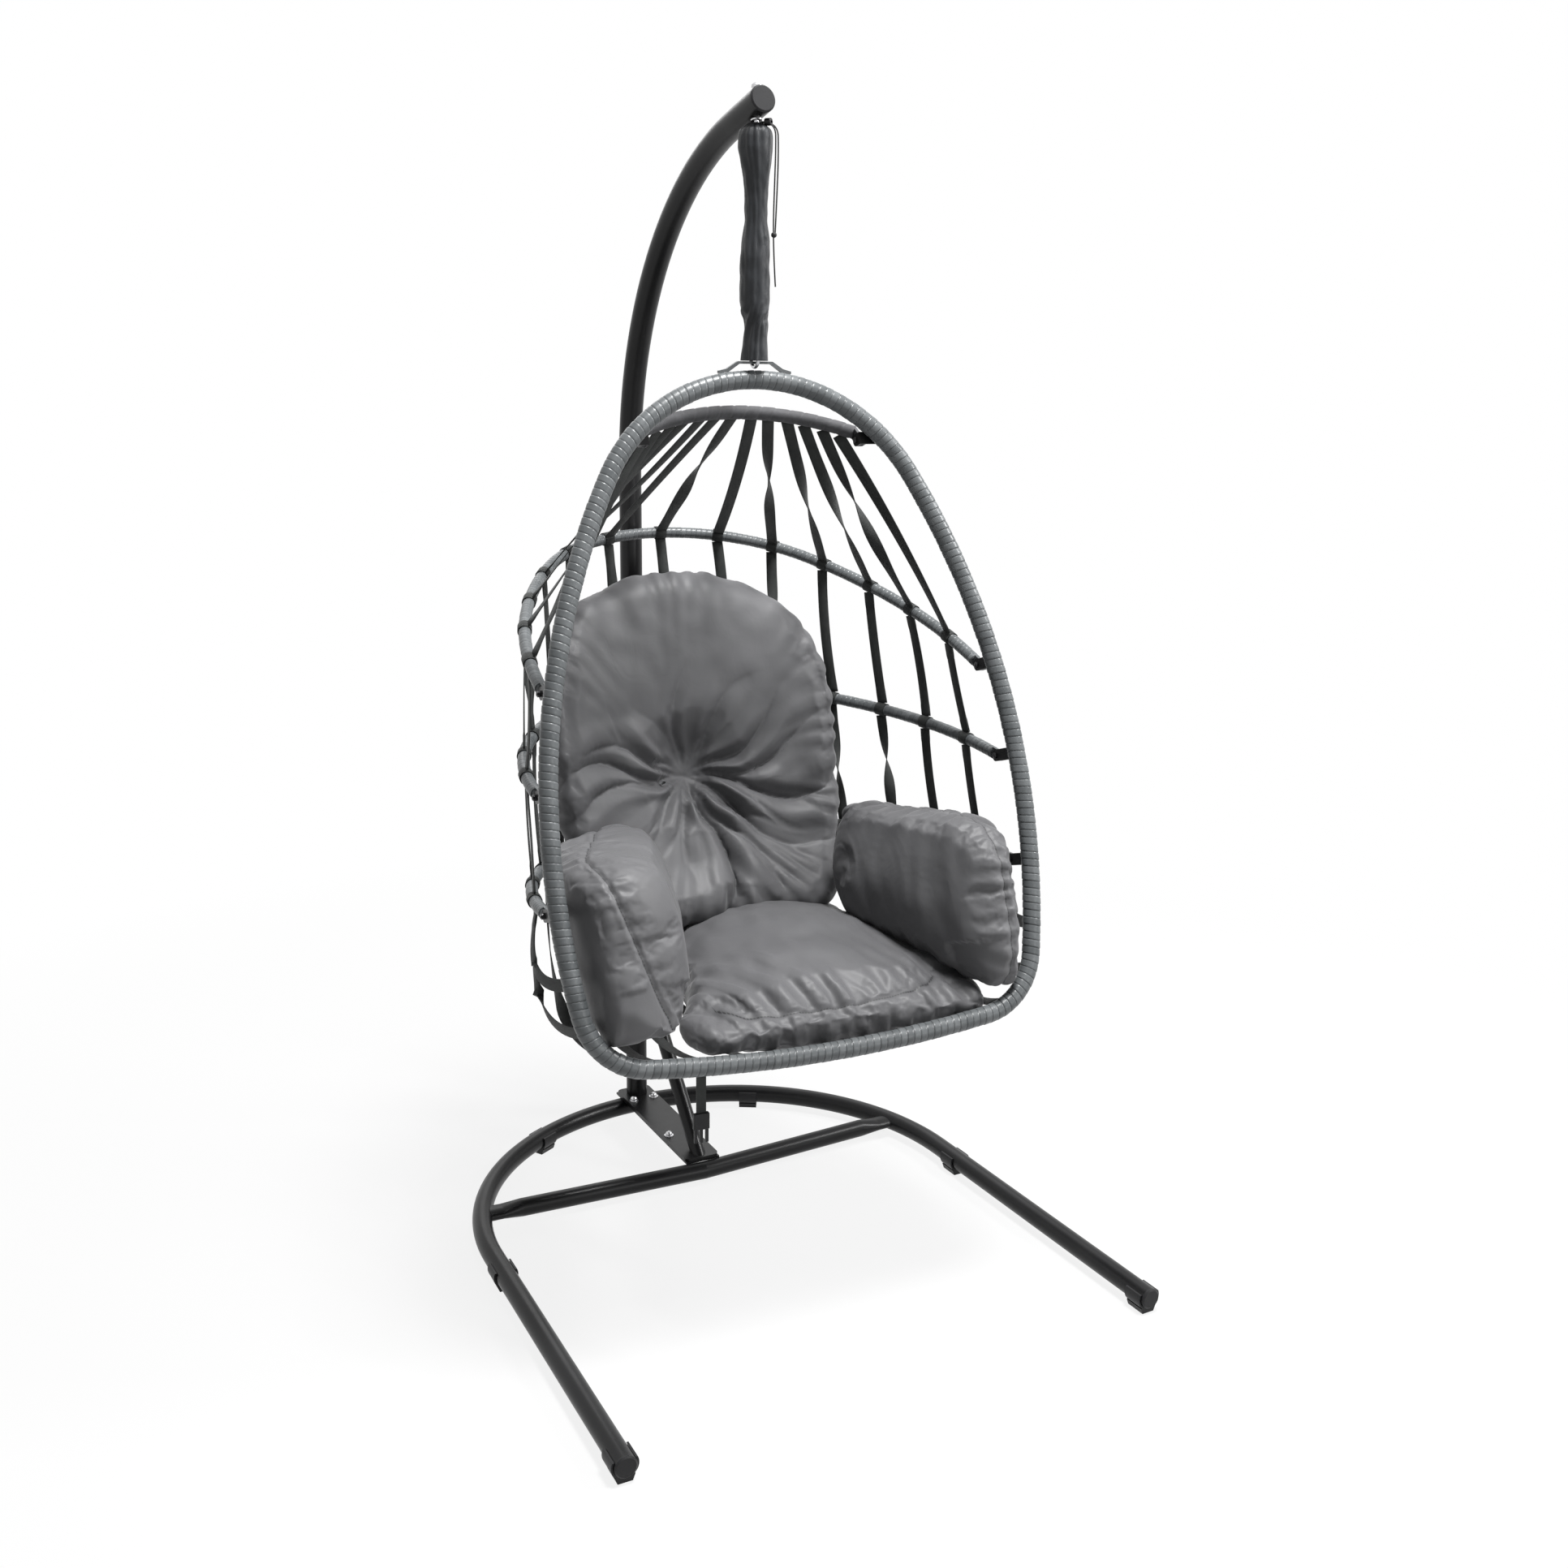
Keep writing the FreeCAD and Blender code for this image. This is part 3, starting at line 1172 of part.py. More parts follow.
def makeDrawstring(topZ):
    """The sleeve's drawstring: two strands out of the neck, through the toggle and down to a knot."""
    strands = [
        [(8.4, -1.6, 1.4), (33.0, -1.6, 1.2), (33.6, -1.0, -40), (31.8, -0.4, -92), (30.2, -0.2, -146),
         (31.4, 0.4, -196), (34.5, 0.6, -240)],
        [(8.4, 1.6, 1.4), (35.4, 1.8, 1.0), (36.6, 2.6, -42), (35.2, 2.4, -96), (32.7, 1.6, -160)],
    ]
    solids = []
    for strand in strands:
        wire = cordWire([cordSpot(out, along, topZ + z) for out, along, z in strand])
        solid = sweepRound(wire, size("cordThick") / 2)
        ideal = wire.Length * math.pi * size("cordThick") ** 2 / 4
        if abs(solid.Volume / ideal - 1) > 0.01:
            raise RuntimeError("a strand of the drawstring is not a clean tube")
        solids.append(solid)
    addFeature("sleeve_cord", Part.makeCompound(solids))
    ahead = cordSpot(1, 0, 0) - cordSpot(0, 0, 0)
    knot = Part.makeSphere(4.4, cordSpot(31.2, 0.5, topZ - 163)).cut(solids)
    addFeature("cord_knot", knot)
    start = cordSpot(14.6, 0, topZ + 1.3)
    barrel = Part.makeCylinder(5.6, 11.0, start, ahead)
    rims = [edge for edge in barrel.Edges if edge.Curve.TypeId == "Part::GeomCircle"]
    barrel = barrel.makeFillet(1.6, rims)
    slot = Part.makeBox(12, 6.4, 3.2, Vector(-0.5, -3.2, -1.6))
    slot.Placement = Placement(start, Rotation(Vector(0, 0, 1), -size("cordTurn")))
    addFeature("cord_toggle", barrel.cut([slot] + solids))


# Bows as curves, for the straps and the cushions
def bowPoint(name, share):
    """A point of a bow's centre line and its direction; share runs from -1 at one hinge to 1 at the other."""
    half = size(name + "Half")
    reach = size(name + "Reach")
    bend = size(name + "Bend")
    start = size(name + "Start")
    side = 1 if share >= 0 else -1
    if bend > 0:
        depth = reach - start
        flank = (bend ** 2 - half ** 2 - (depth - bend) ** 2) / (2 * (bend - half))
        rearCentre = Vector(0, reach - bend, 0)
        sideCentre = Vector(half - flank, start, 0)
        turn = math.atan2(rearCentre.y - sideCentre.y, rearCentre.x - sideCentre.x)
        rearLength = bend * (math.pi / 2 - turn)
        sideLength = flank * turn
        way = abs(share) * (rearLength + sideLength)
        if way <= rearLength:
            angle = math.pi / 2 - way / bend
            centre, radius = rearCentre, bend
        else:
            angle = turn - (way - rearLength) / flank
            centre, radius = sideCentre, flank
    else:
        depth = reach - start
        radius = (half ** 2 + depth ** 2) / (2 * depth)
        centre = Vector(0, reach - radius, 0)
        low = math.atan2(start - centre.y, half)
        angle = math.pi / 2 - abs(share) * (math.pi / 2 - low)
    place = centre + Vector(math.cos(angle), math.sin(angle), 0) * radius
    along = Vector(math.sin(angle), -math.cos(angle), 0)
    frame = bowFrame(name)
    place = frame.multVec(Vector(side * place.x, place.y, 0))
    along = frame.Rotation.multVec(Vector(side * along.x, along.y, 0)) * side
    return place, along


def lowerHoopPoint(share):
    """A point on the lower hoop for a strap's end, from the lower hinge on one side round to the other."""
    centres, radii, ends = hoop["centres"], hoop["radii"], hoop["ends"]
    side = 1 if share >= 0 else -1
    first = math.asin((-size("lowerDrop") - 40 - centres[1].y) / radii[1])
    last = math.atan2(ends[2].y - centres[1].y, ends[2].x - centres[1].x)
    cornerIn = last
    cornerOut = math.atan2(ends[3].y - centres[2].y, ends[3].x - centres[2].x)
    bottomIn = math.atan2(ends[3].y - centres[3].y, ends[3].x - centres[3].x)
    bottomOut = -math.pi / 2
    spans = [
        (centres[3], radii[3], bottomOut, bottomIn), (centres[2], radii[2], cornerOut, cornerIn),
        (centres[1], radii[1], last, first),
    ]
    total = sum(radius * (b - a) for _, radius, a, b in spans)
    way = abs(share) * total
    for centre, radius, a, b in spans:
        length = radius * (b - a)
        if way <= length + 1e-9:
            angle = a + way / radius
            break
        way -= length
    place = centre + Vector(math.cos(angle), math.sin(angle), 0) * radius
    along = Vector(-math.sin(angle), math.cos(angle), 0)
    spot = hoopToHang(Vector(side * place.x, 0, place.y))
    tilt = rotX(-size("hoopLean"))
    return spot, tilt.multVec(Vector(side * along.x, 0, along.y)) * side


def strapSection(place, wide, run):
    """A strap's flat section at a place, its width along wide and its thickness square to the run."""
    wide = wide.normalize() * (size("strapWidth") / 2)
    thick = run.cross(wide).normalize() * (size("strapThick") / 2)
    corners = [place - wide - thick, place + wide - thick, place + wide + thick, place - wide + thick]
    return Part.makePolygon(corners + [corners[0]])


def clearOf(place, wide, run, distance):
    """Move a strap's end off the middle of the tube that it is looped round, square to the tube."""
    away = run - wide * run.dot(wide)
    return place + away.normalize() * distance


def strap(stations, startClear, endClear):
    """A flat strap through its stations, each (place, direction of the tube), clear of both tubes."""
    last = len(stations) - 1
    wires = []
    for i, (place, wide) in enumerate(stations):
        run = (stations[min(i + 1, last)][0] - stations[max(i - 1, 0)][0]).normalize()
        if i == 0:
            place = clearOf(place, wide, run, startClear)
        elif i == last:
            place = clearOf(place, wide, run * -1, endClear)
        wires.append(strapSection(place, wide, run))
    return Part.makeLoft(wires, True, True)


def strapShares():
    count = int(size("strapCount"))
    return [2 * (i - (count - 1) / 2) / (count + 0.6) for i in range(count)]


def makeStrapSpan(label, upper, lower):
    """The straps between two neighbouring bows."""
    upperClear = size("topBowTube" if upper == "top" else "bowTube") / 2 + size("strapClear")
    lowerClear = size("bowTube") / 2 + size("strapClear")
    straps = [
        strap([bowPoint(upper, share), bowPoint(lower, share)], upperClear, lowerClear)
        for share in strapShares()
    ]
    return addFeature(label, Part.makeCompound(straps), hang)


def makeSeatSling():
    """Straps from the lower bow under the seat to the hoop's bottom; each sags in straight runs."""
    straps = []
    for share in strapShares():
        high, highWide = bowPoint("lower", share)
        low, lowWide = lowerHoopPoint(share)
        chord = low - high
        side = 1 if share > 0 else -1
        bulge = Vector(side * 0.14 * share * share, 0.10, -0.25 + 0.03 * abs(share)) * chord.Length
        stations = []
        for t in (0.0, 0.22, 0.45, 0.72, 1.0):
            place = high + chord * t + bulge * (4 * t * (1 - t))
            stations.append((place, highWide * (1 - t) + lowWide * t))
        straps.append(strap(
            stations, size("bowTube") / 2 + size("strapClear"), hoopRadius + size("strapClear"),
        ))
    return addFeature("seat_straps", Part.makeCompound(straps), hang)


# Cushions
def softWire(frame, corners, bulges):
    """A section of four arcs between four corners; each side bows out by its bulge."""
    middle = sum(corners, Vector()) * 0.25
    edges = []
    for i in range(4):
        start, end = corners[i], corners[(i + 1) % 4]
        side = end - start
        out = Vector(side.y, -side.x, 0).normalize()
        if out.dot((start + end) * 0.5 - middle) < 0:
            out = out * -1
        crown = (start + end) * 0.5 + out * bulges[i]
        edges.append(Part.Arc(frame.multVec(start), frame.multVec(crown), frame.multVec(end)).toShape())
    return Part.Wire(edges)


def makeSeat():
    """The seat pad: upright sections from its front edge to its back, narrower between the arm cushions."""
    front, rear, shift = size("seatFront"), size("seatRear"), size("seatShift")
    base, thick, half = size("seatHeight"), size("seatThick"), size("seatHalfWidth")
    wires = []
    for share, wide, lift, tall in (
        (0.0, 0.86, 20.0, 0.44), (0.04, 0.94, 9.0, 0.76), (0.13, 0.98, 0.0, 0.96), (0.30, 0.87, 0.0, 1.0),
        (0.50, 0.76, 0.0, 1.0), (0.70, 0.66, 10.0, 0.94), (0.86, 0.60, 26.0, 0.78), (0.95, 0.55, 38.0, 0.62),
        (1.0, 0.48, 50.0, 0.40),
    ):
        frame = Placement(Vector(shift, front + (rear - front) * share, base + lift), rotX(90))
        h = half * wide
        side = 0.09 * half
        edge = 14.0 * tall
        sag = size("seatSag") * tall
        corners = [
            Vector(-h + side, sag, 0), Vector(h - side, sag, 0),
            Vector(h - side, thick * tall - edge, 0), Vector(-h + side, thick * tall - edge, 0),
        ]
        crown = size("seatCrown") * 4 * share * (1 - share)
        wires.append(softWire(frame, corners, (sag, side, edge + crown, side)))
    return addFeature("seat_cushion", Part.makeLoft(wires, True, False), hang)


def makeBack():
    """The round-topped back pad with its sewn tuft, wrapped into the curve of the bows behind it."""
    lowTip = bowPoint("lower", 0)[0]
    highTip = bowPoint("upper", 0)[0]
    clear = size("bowTube") / 2 + size("cushionClear")
    rise = (highTip - lowTip).normalize()
    lean = Rotation(Vector(0, 0, 1), rise)
    thick, half, shift = size("backThick"), size("backHalfWidth"), size("backShift")
    wrap = size("middleBend") - clear
    low, high = size("backBottom"), size("backTop")

    def rearAt(x):
        return -(wrap - math.sqrt(wrap ** 2 - x ** 2))

    wires = []
    for share, ahead, wide, tall in (
        (0.0, 100.0, 0.66, 0.42), (0.025, 84.0, 0.80, 0.74), (0.09, 52.0, 0.90, 0.96),
        (0.23, 16.0, 0.97, 1.0), (0.42, 0.0, 1.0, 1.0), (0.60, 0.0, 1.0, 1.0),
        (0.73, 0.0, 0.94, 0.98), (0.85, 2.0, 0.81, 0.90),
        (0.92, 7.0, 0.65, 0.76), (0.97, 12.0, 0.44, 0.54), (1.0, 17.0, 0.22, 0.28),
    ):
        z = low + (high - low) * share
        place = lowTip + rise * ((z - lowTip.z) / rise.z) - Vector(0, clear + ahead, 0)
        h = half * wide
        side = 0.08 * half * (0.4 + 0.6 * tall)
        left, right = shift - h + side, shift + h - side
        rear = -thick / 2 * (1 - tall)
        front = -thick / 2 * (1 + tall)
        flank = size("backSideThick") * tall
        corners = [
            Vector(left, rear + rearAt(left), 0), Vector(right, rear + rearAt(right), 0),
            Vector(right, rear + rearAt(right) - flank, 0), Vector(left, rear + rearAt(left) - flank, 0),
        ]
        frontFall = (corners[2].y + corners[3].y) / 2 - front
        rearFall = rear - (corners[0].y + corners[1].y) / 2
        wires.append(softWire(
            Placement(place, lean), corners, (rearFall + rearAt(shift), side, frontFall, side),
        ))
    pad = Part.makeLoft(wires, True, False)
    z = size("tuftHeight")
    middle = lowTip + rise * ((z - lowTip.z) / rise.z) - Vector(0, clear, 0)
    tuft = middle + lean.multVec(Vector(shift - 14, -thick - 6, 0))
    dimple = Part.makeCone(size("tuftRadius"), 3, size("tuftDepth") + 6, tuft, lean.multVec(Vector(0, 1, 0)))
    return addFeature("back_cushion", pad.cut(dimple), hang)


def makeArm(label, side, inward):
    """A plump pillow beside the seat, its front seam just ahead of the hoop.

    Each section is parallel to the hoop: its share of the length, its outer top, outer foot, inner foot and
    inner top, each as (from the middle, below the hoop's top), and how much its sides swell.
    """
    sections = (
        (0.0, (338, 822), (338, 958), (326, 962), (324, 818), 0.2),
        (0.04, (354, 786), (344, 990), (306, 996), (304, 780), 0.5),
        (0.125, (367, 762), (348.5, 1008.4), (292, 1004), (290, 752), 0.9),
        (0.27, (377, 744), (352, 984), (280, 976), (280, 732), 1.0),
        (0.46, (374, 730), (348, 960), (264, 952), (256, 716), 1.0),
        (0.68, (358, 718), (326, 924), (240, 920), (232, 702), 1.0),
        (0.86, (322, 704), (300, 882), (220, 886), (216, 690), 0.9),
        (0.96, (286, 706), (274, 848), (220, 852), (224, 698), 0.6),
        (1.0, (264, 724), (258, 818), (230, 822), (234, 718), 0.3),
    )
    wires = []
    for share, outerTop, outerFoot, innerFoot, innerTop, swell in sections:
        depth = size("armStart") + size("armLength") * share
        lean = inward * swell
        corners = [
            Vector(side * outerTop[0], outerTop[1], 0), Vector(side * outerFoot[0], outerFoot[1], 0),
            Vector(side * (innerFoot[0] - lean), innerFoot[1], 0),
            Vector(side * (innerTop[0] - lean * 0.5), innerTop[1], 0),
        ]
        # The section's y axis points down the hoop, so its z axis points forward.
        frame = Placement(hoopToHang(Vector(0, depth, 0)), rotX(-size("hoopLean")) * rotX(-90))
        wires.append(softWire(frame, corners, (9 * swell, 6 * swell, size("armSwell") * swell, 16 * swell)))
    return addFeature(label, Part.makeLoft(wires, True, False), hang)


def makeTie():
    """The loose tie under the seat: a strap end against the hoop's bottom and the buckle half on it."""
    x = -size("tieSide")
    rise = hoop["radii"][3] - math.sqrt(hoop["radii"][3] ** 2 - x ** 2)
    tube = hoopToHang(Vector(x, 0, rise - size("hoopHeight")))
    drop = 6
    back = tube.y + math.sqrt(hoopRadius ** 2 - drop ** 2) + size("strapClear") / 2
    wide, thick = size("tieWidth"), size("strapThick")
    top = tube.z - drop
    low = top - size("tieLength")
    band = Part.makeBox(wide, thick, top - low, Vector(x - wide / 2, back, low))
    addFeature("tie_strap", band, hang)
    deep, tall = size("buckleDeep"), size("buckleTall")
    broad = wide + 10
    middle = back + thick / 2
    block = Part.makeBox(broad, deep, tall * 0.62, Vector(x - broad / 2, middle - deep / 2, low - tall * 0.5))
    block = block.makeFillet(2.0, block.Edges)
    slot = Part.makeBox(wide + 1, thick + 0.6, tall, Vector(x - wide / 2 - 0.5, back - 0.3, low - 0.3))
    prongs = [
        Part.makeBox(4.5, deep * 0.55, tall * 0.5, Vector(spot, middle - deep * 0.275, low - tall))
        for spot in (x - broad / 2 + 1.5, x - 2.25, x + broad / 2 - 6)
    ]
    addFeature("tie_buckle", block.fuse(prongs).cut(slot).removeSplitter(), hang)


# Build
makeBaseHalf("base_left", -1)
makeBaseHalf("base_right", 1)
makeFootPlate()
makeLowerPost()
upperPost, tipFrame, tipCorner = makeUpperPost()
makeJoiner()
makePlateBolts()
makeJointBolts()
makeStrut()
makeCap("post_cap", "postTube", "postWall", tipFrame)
legLean = legLine()[2]
for side, word in ((-1, "left"), (1, "right")):
    legEnd = stand * Placement(
        Vector(side * size("legHalfSpread"), -size("baseDepth"), 0), rotZ(side * legLean) * rotX(90))
    makeCap("leg_cap_" + word, "baseTube", "baseWall", legEnd)
makeFootClips()

tipSlope = math.radians(90 - size("postBendAngle"))
axisAtHang = tipCorner.z + (tipCorner.y - hangBack) * math.tan(tipSlope)
underside = axisAtHang - size("postTube") / 2 / math.cos(tipSlope)
hanger = makeHanger(underside)
lowerHook = addFeature("lower_hook", hanger["lower"].copy())
sleeveTop = underside - size("sleeveTopGap")
makeSleeve(sleeveTop, hanger["barTop"] + 1.0)
makeDrawstring(sleeveTop)
print("sleeve top %.2f, side pivot %.2f, eye %.2f, hang axis y %.2f" % (
    sleeveTop, hanger["side"], hanger["eye"], hangBack))

makeHoopPipe(
    "hoop_tube", ("Sizes.hoopTube", size("hoopTube")),
    ("Sizes.hoopTube - 2 * Sizes.hoopWall", size("hoopTube") - 2 * size("hoopWall")),
)
makeHoopPipe(
    "hoop_wrap", ("Sizes.hoopTube + 2 * Sizes.wrapGap + 2 * Sizes.wrapThick", 2 * hoopRadius),
    ("Sizes.hoopTube + 2 * Sizes.wrapGap", size("hoopTube") + 2 * size("wrapGap")),
)
makeBridge(hanger["barTop"])
for bowName in bows:
    makeBow(bowName)
    makeHingeForks(bowName)
makeHingeBolts()
makeStrapSpan("top_straps", "top", "upper")
makeStrapSpan("upper_straps", "upper", "middle")
makeStrapSpan("middle_straps", "middle", "lower")
makeSeatSling()
makeSeat()
makeBack()
makeArm("left_arm_cushion", -1, size("leftArmLean"))
makeArm("right_arm_cushion", 1, 0.0)
makeTie()

doc.recompute()
faults = [item.Label for item in doc.Objects if "Invalid" in item.State or "Error" in item.State]
for item in nodes:
    shape = item.Shape
    if shape.isNull() or not shape.isValid() or not shape.Solids:
        faults.append(item.Label)
if faults:
    raise RuntimeError("these did not build: " + ", ".join(faults))
os.makedirs("parts", exist_ok=True)
for item in nodes:
    item.Shape.exportStep(os.path.join("parts", item.Label + ".step"))
    print("%-20s %3d solids %12.0f mm3" % (item.Label, len(item.Shape.Solids), item.Shape.Volume))
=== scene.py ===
import json
import math
import random

import bpy
import numpy as np
from mathutils import Matrix, Vector, noise


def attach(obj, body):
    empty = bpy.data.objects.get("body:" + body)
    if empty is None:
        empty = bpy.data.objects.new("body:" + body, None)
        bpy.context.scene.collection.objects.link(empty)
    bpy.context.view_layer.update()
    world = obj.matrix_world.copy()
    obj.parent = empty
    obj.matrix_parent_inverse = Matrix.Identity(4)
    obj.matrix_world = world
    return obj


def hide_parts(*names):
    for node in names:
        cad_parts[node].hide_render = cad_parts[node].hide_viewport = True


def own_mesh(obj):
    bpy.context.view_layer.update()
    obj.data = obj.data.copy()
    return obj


# Hanging egg chair. Metres, +Z up, the chair faces -Y, its left side is -X.
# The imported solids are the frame. This script adds the camera, the drawstring, the wound strips,
# the webbing, the cushions and the cloth sleeve, then the light and the floor.

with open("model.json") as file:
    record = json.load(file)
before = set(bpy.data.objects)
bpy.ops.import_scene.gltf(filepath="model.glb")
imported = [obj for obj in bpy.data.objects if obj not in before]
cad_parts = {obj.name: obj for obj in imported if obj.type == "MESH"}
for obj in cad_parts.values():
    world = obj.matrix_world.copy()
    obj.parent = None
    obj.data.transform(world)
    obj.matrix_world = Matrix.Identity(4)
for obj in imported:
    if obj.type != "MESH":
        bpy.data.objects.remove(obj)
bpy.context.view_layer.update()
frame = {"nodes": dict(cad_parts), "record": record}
print("frame loaded, %d nodes" % len(frame["nodes"]))
rng = random.Random(11)

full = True
detail = {
    "lineStep": 0.004,
    "hoopAround": 32 if full else 24, "hoopSteps": 14 if full else 8,
    "bowAround": 24 if full else 18, "bowSteps": 12 if full else 8,
    "strapSamples": 30 if full else 14,
    "voxel": 0.005 if full else 0.009, "tuftRounds": 260 if full else 70,
    "sleeveRows": 320 if full else 120, "sleeveAround": 132 if full else 64, "sleeveBlend": 17 if full else 9,
}

# Places and sizes, the same as in the part
place = {
    "hangBack": 0.0055,
    "swivel": math.radians(-4.5),
    "hoopTop": 1.492,
    "lean": math.radians(17.25),
    "sleeveTop": 1.87295,
    "sleeveLow": 1.5212,
}
hoopShape = {
    "topRadius": 0.295, "halfWidth": 0.4075, "widestDrop": 0.740, "height": 1.070,
    "corner": 0.110, "bottomRadius": 2.400, "tube": 0.0147,
}
bowShape = {
    "top": {"drop": 0.090, "off": 0.030, "half": 0.188, "reach": 0.085, "bend": 0, "rise": 30.0,
            "start": 0.023, "tube": 0.0105},
    "upper": {"drop": 0.472, "off": 0.050, "half": 0.380, "reach": 0.583, "bend": 0.300, "rise": 18.3,
              "start": 0.017, "tube": 0.00925},
    "middle": {"drop": 0.628, "off": 0.057, "half": 0.401, "reach": 0.531, "bend": 0.330, "rise": 5.3,
               "start": 0.017, "tube": 0.00925},
    "lower": {"drop": 0.807, "off": 0.058, "half": 0.407, "reach": 0.528, "bend": 0.340, "rise": -4.1,
              "start": 0.017, "tube": 0.00925},
}
hang = Matrix.Translation((0, place["hangBack"], 0)) @ Matrix.Rotation(place["swivel"], 4, "Z")
hoopPlane = hang @ Matrix.Translation((0, 0, place["hoopTop"])) @ Matrix.Rotation(-place["lean"], 4, "X")


def moved(matrix, points):
    m = np.array(matrix)
    return np.asarray(points, float) @ m[:3, :3].T + m[:3, 3]


def turned(matrix, directions):
    return np.asarray(directions, float) @ np.array(matrix)[:3, :3].T


def unit(v):
    return v / np.maximum(np.linalg.norm(v, axis=-1, keepdims=True), 1e-12)


def smoothStep(t):
    t = np.clip(t, 0, 1)
    return t * t * (3 - 2 * t)


def added(name, data):
    made = bpy.data.objects.new(name, data)
    bpy.context.scene.collection.objects.link(made)
    return made


# Camera, at the photograph's angle: yaw from +Y towards +X, pitch downwards
camera = {
    "position": (-1.2017, -2.3541, 1.4970), "yaw": 28.18, "pitch": 14.14, "roll": 0.72,
    "lens": 37.1, "sensor": 36,
}


def makeCamera(c):
    yaw, pitch, roll = [math.radians(c[key]) for key in ("yaw", "pitch", "roll")]
    ahead = Vector((math.sin(yaw) * math.cos(pitch), math.cos(yaw) * math.cos(pitch), -math.sin(pitch)))
    level = Vector((math.cos(yaw), -math.sin(yaw), 0))
    above = level.cross(ahead)
    right = level * math.cos(roll) + above * math.sin(roll)
    up = above * math.cos(roll) - level * math.sin(roll)
    data = bpy.data.cameras.new("camera")
    data.sensor_width = c["sensor"]
    data.lens = c["lens"]
    data.clip_end = 60
    made = added("camera", data)
    made.matrix_world = Matrix.Translation(c["position"]) @ Matrix((right, up, -ahead)).transposed().to_4x4()
    bpy.context.scene.camera = made
    print("camera set")


makeCamera(camera)


# Finishes
def newMaterial(name, colour, roughness, metallic=0.0):
    material = bpy.data.materials.new(name)
    material.use_nodes = True
    shader = material.node_tree.nodes["Principled BSDF"]
    shader.inputs["Base Color"].default_value = (*colour, 1)
    shader.inputs["Roughness"].default_value = roughness
    shader.inputs["Metallic"].default_value = metallic
    return material, material.node_tree, shader


def addNode(tree, kind, **inputs):
    node = tree.nodes.new(kind)
    for name, value in inputs.items():
        node.inputs[name].default_value = value
    return node


def doMath(tree, operation, first, second=None, clamp=False):
    node = tree.nodes.new("ShaderNodeMath")
    node.operation = operation
    node.use_clamp = clamp
    for i, value in enumerate((first, second)):
        if value is None:
            continue
        if isinstance(value, (int, float)):
            node.inputs[i].default_value = value
        else:
            tree.links.new(value, node.inputs[i])
    return node.outputs["Value"]


def readAttribute(tree, name):
    node = tree.nodes.new("ShaderNodeAttribute")
    node.attribute_name = name
    return node.outputs["Fac"]


def addBump(tree, shader, height, strength, distance, under=None):
    bump = addNode(tree, "ShaderNodeBump", Strength=strength, Distance=distance)
    tree.links.new(height, bump.inputs["Height"])
    if under is not None:
        tree.links.new(under, bump.inputs["Normal"])
    tree.links.new(bump.outputs["Normal"], shader.inputs["Normal"])
    return bump.outputs["Normal"]


def objectPlace(tree):
    return tree.nodes.new("ShaderNodeTexCoord").outputs["Object"]


def noiseTexture(tree, source, scale, octaves=4.0, roughness=0.6, distortion=0.0):
    grain = addNode(
        tree, "ShaderNodeTexNoise", Scale=scale, Detail=octaves, Roughness=roughness, Distortion=distortion)
    tree.links.new(source, grain.inputs["Vector"])
    return grain.outputs["Fac"]


def ramped(tree, factor, low, high, start=0.3, end=0.7):
    # a colour between two tones
    ramp = tree.nodes.new("ShaderNodeValToRGB")
    ramp.color_ramp.elements[0].position = start
    ramp.color_ramp.elements[1].position = end
    ramp.color_ramp.elements[0].color = (*low, 1)
    ramp.color_ramp.elements[1].color = (*high, 1)
    tree.links.new(factor, ramp.inputs["Fac"])
    return ramp.outputs["Color"]


def darkened(tree, colour, factor, tone):
    # the colour, turned to tone where factor is 1
    mix = tree.nodes.new("ShaderNodeMix")
    mix.data_type = "RGBA"
    tree.links.new(factor, mix.inputs["Factor"])
    tree.links.new(colour, mix.inputs["A"])
    mix.inputs["B"].default_value = (*tone, 1)
    return mix.outputs["Result"]


def makeHard(name, colour, tones, roughness, blotch, grain, bump, specular=0.5, metallic=0.0):
    # paint, plastic or metal: two close tones and a fine grain; bump is its strength and depth
    material, tree, shader = newMaterial(name, colour, roughness, metallic)
    spot = objectPlace(tree)
    tree.links.new(ramped(tree, noiseTexture(tree, spot, blotch), *tones), shader.inputs["Base Color"])
    addBump(tree, shader, noiseTexture(tree, spot, grain, 2.0), *bump)
    shader.inputs["Specular IOR Level"].default_value = specular
    return material


def varyRoughness(tree, shader, spot, scale, span, least):
    rough = noiseTexture(tree, spot, scale, 3.0)
    tree.links.new(doMath(tree, "ADD", doMath(tree, "MULTIPLY", rough, span), least), shader.inputs["Roughness"])


def makePaint():
    # powder coat: even black with a fine orange peel, a little paler where it is handled
    tones = (0.0075, 0.0075, 0.008), (0.0115, 0.0115, 0.012)
    material = makeHard(
        "powder coat", (0.009, 0.009, 0.0095), tones, 0.34, 9.0, 700.0, (0.10, 0.0005), 0.22)
    tree = material.node_tree
    varyRoughness(tree, tree.nodes["Principled BSDF"], objectPlace(tree), 30.0, 0.14, 0.25)
    return material


def makePlastic():
    tones = (0.010, 0.010, 0.011), (0.015, 0.015, 0.016)
    return makeHard("black plastic", (0.012, 0.012, 0.013), tones, 0.44, 25.0, 500.0, (0.12, 0.0005), 0.25)


def makeSteel(name, low, high, roughness, metallic):
    return makeHard(name, low, (low, high), roughness, 160.0, 600.0, (0.06, 0.0004), metallic=metallic)


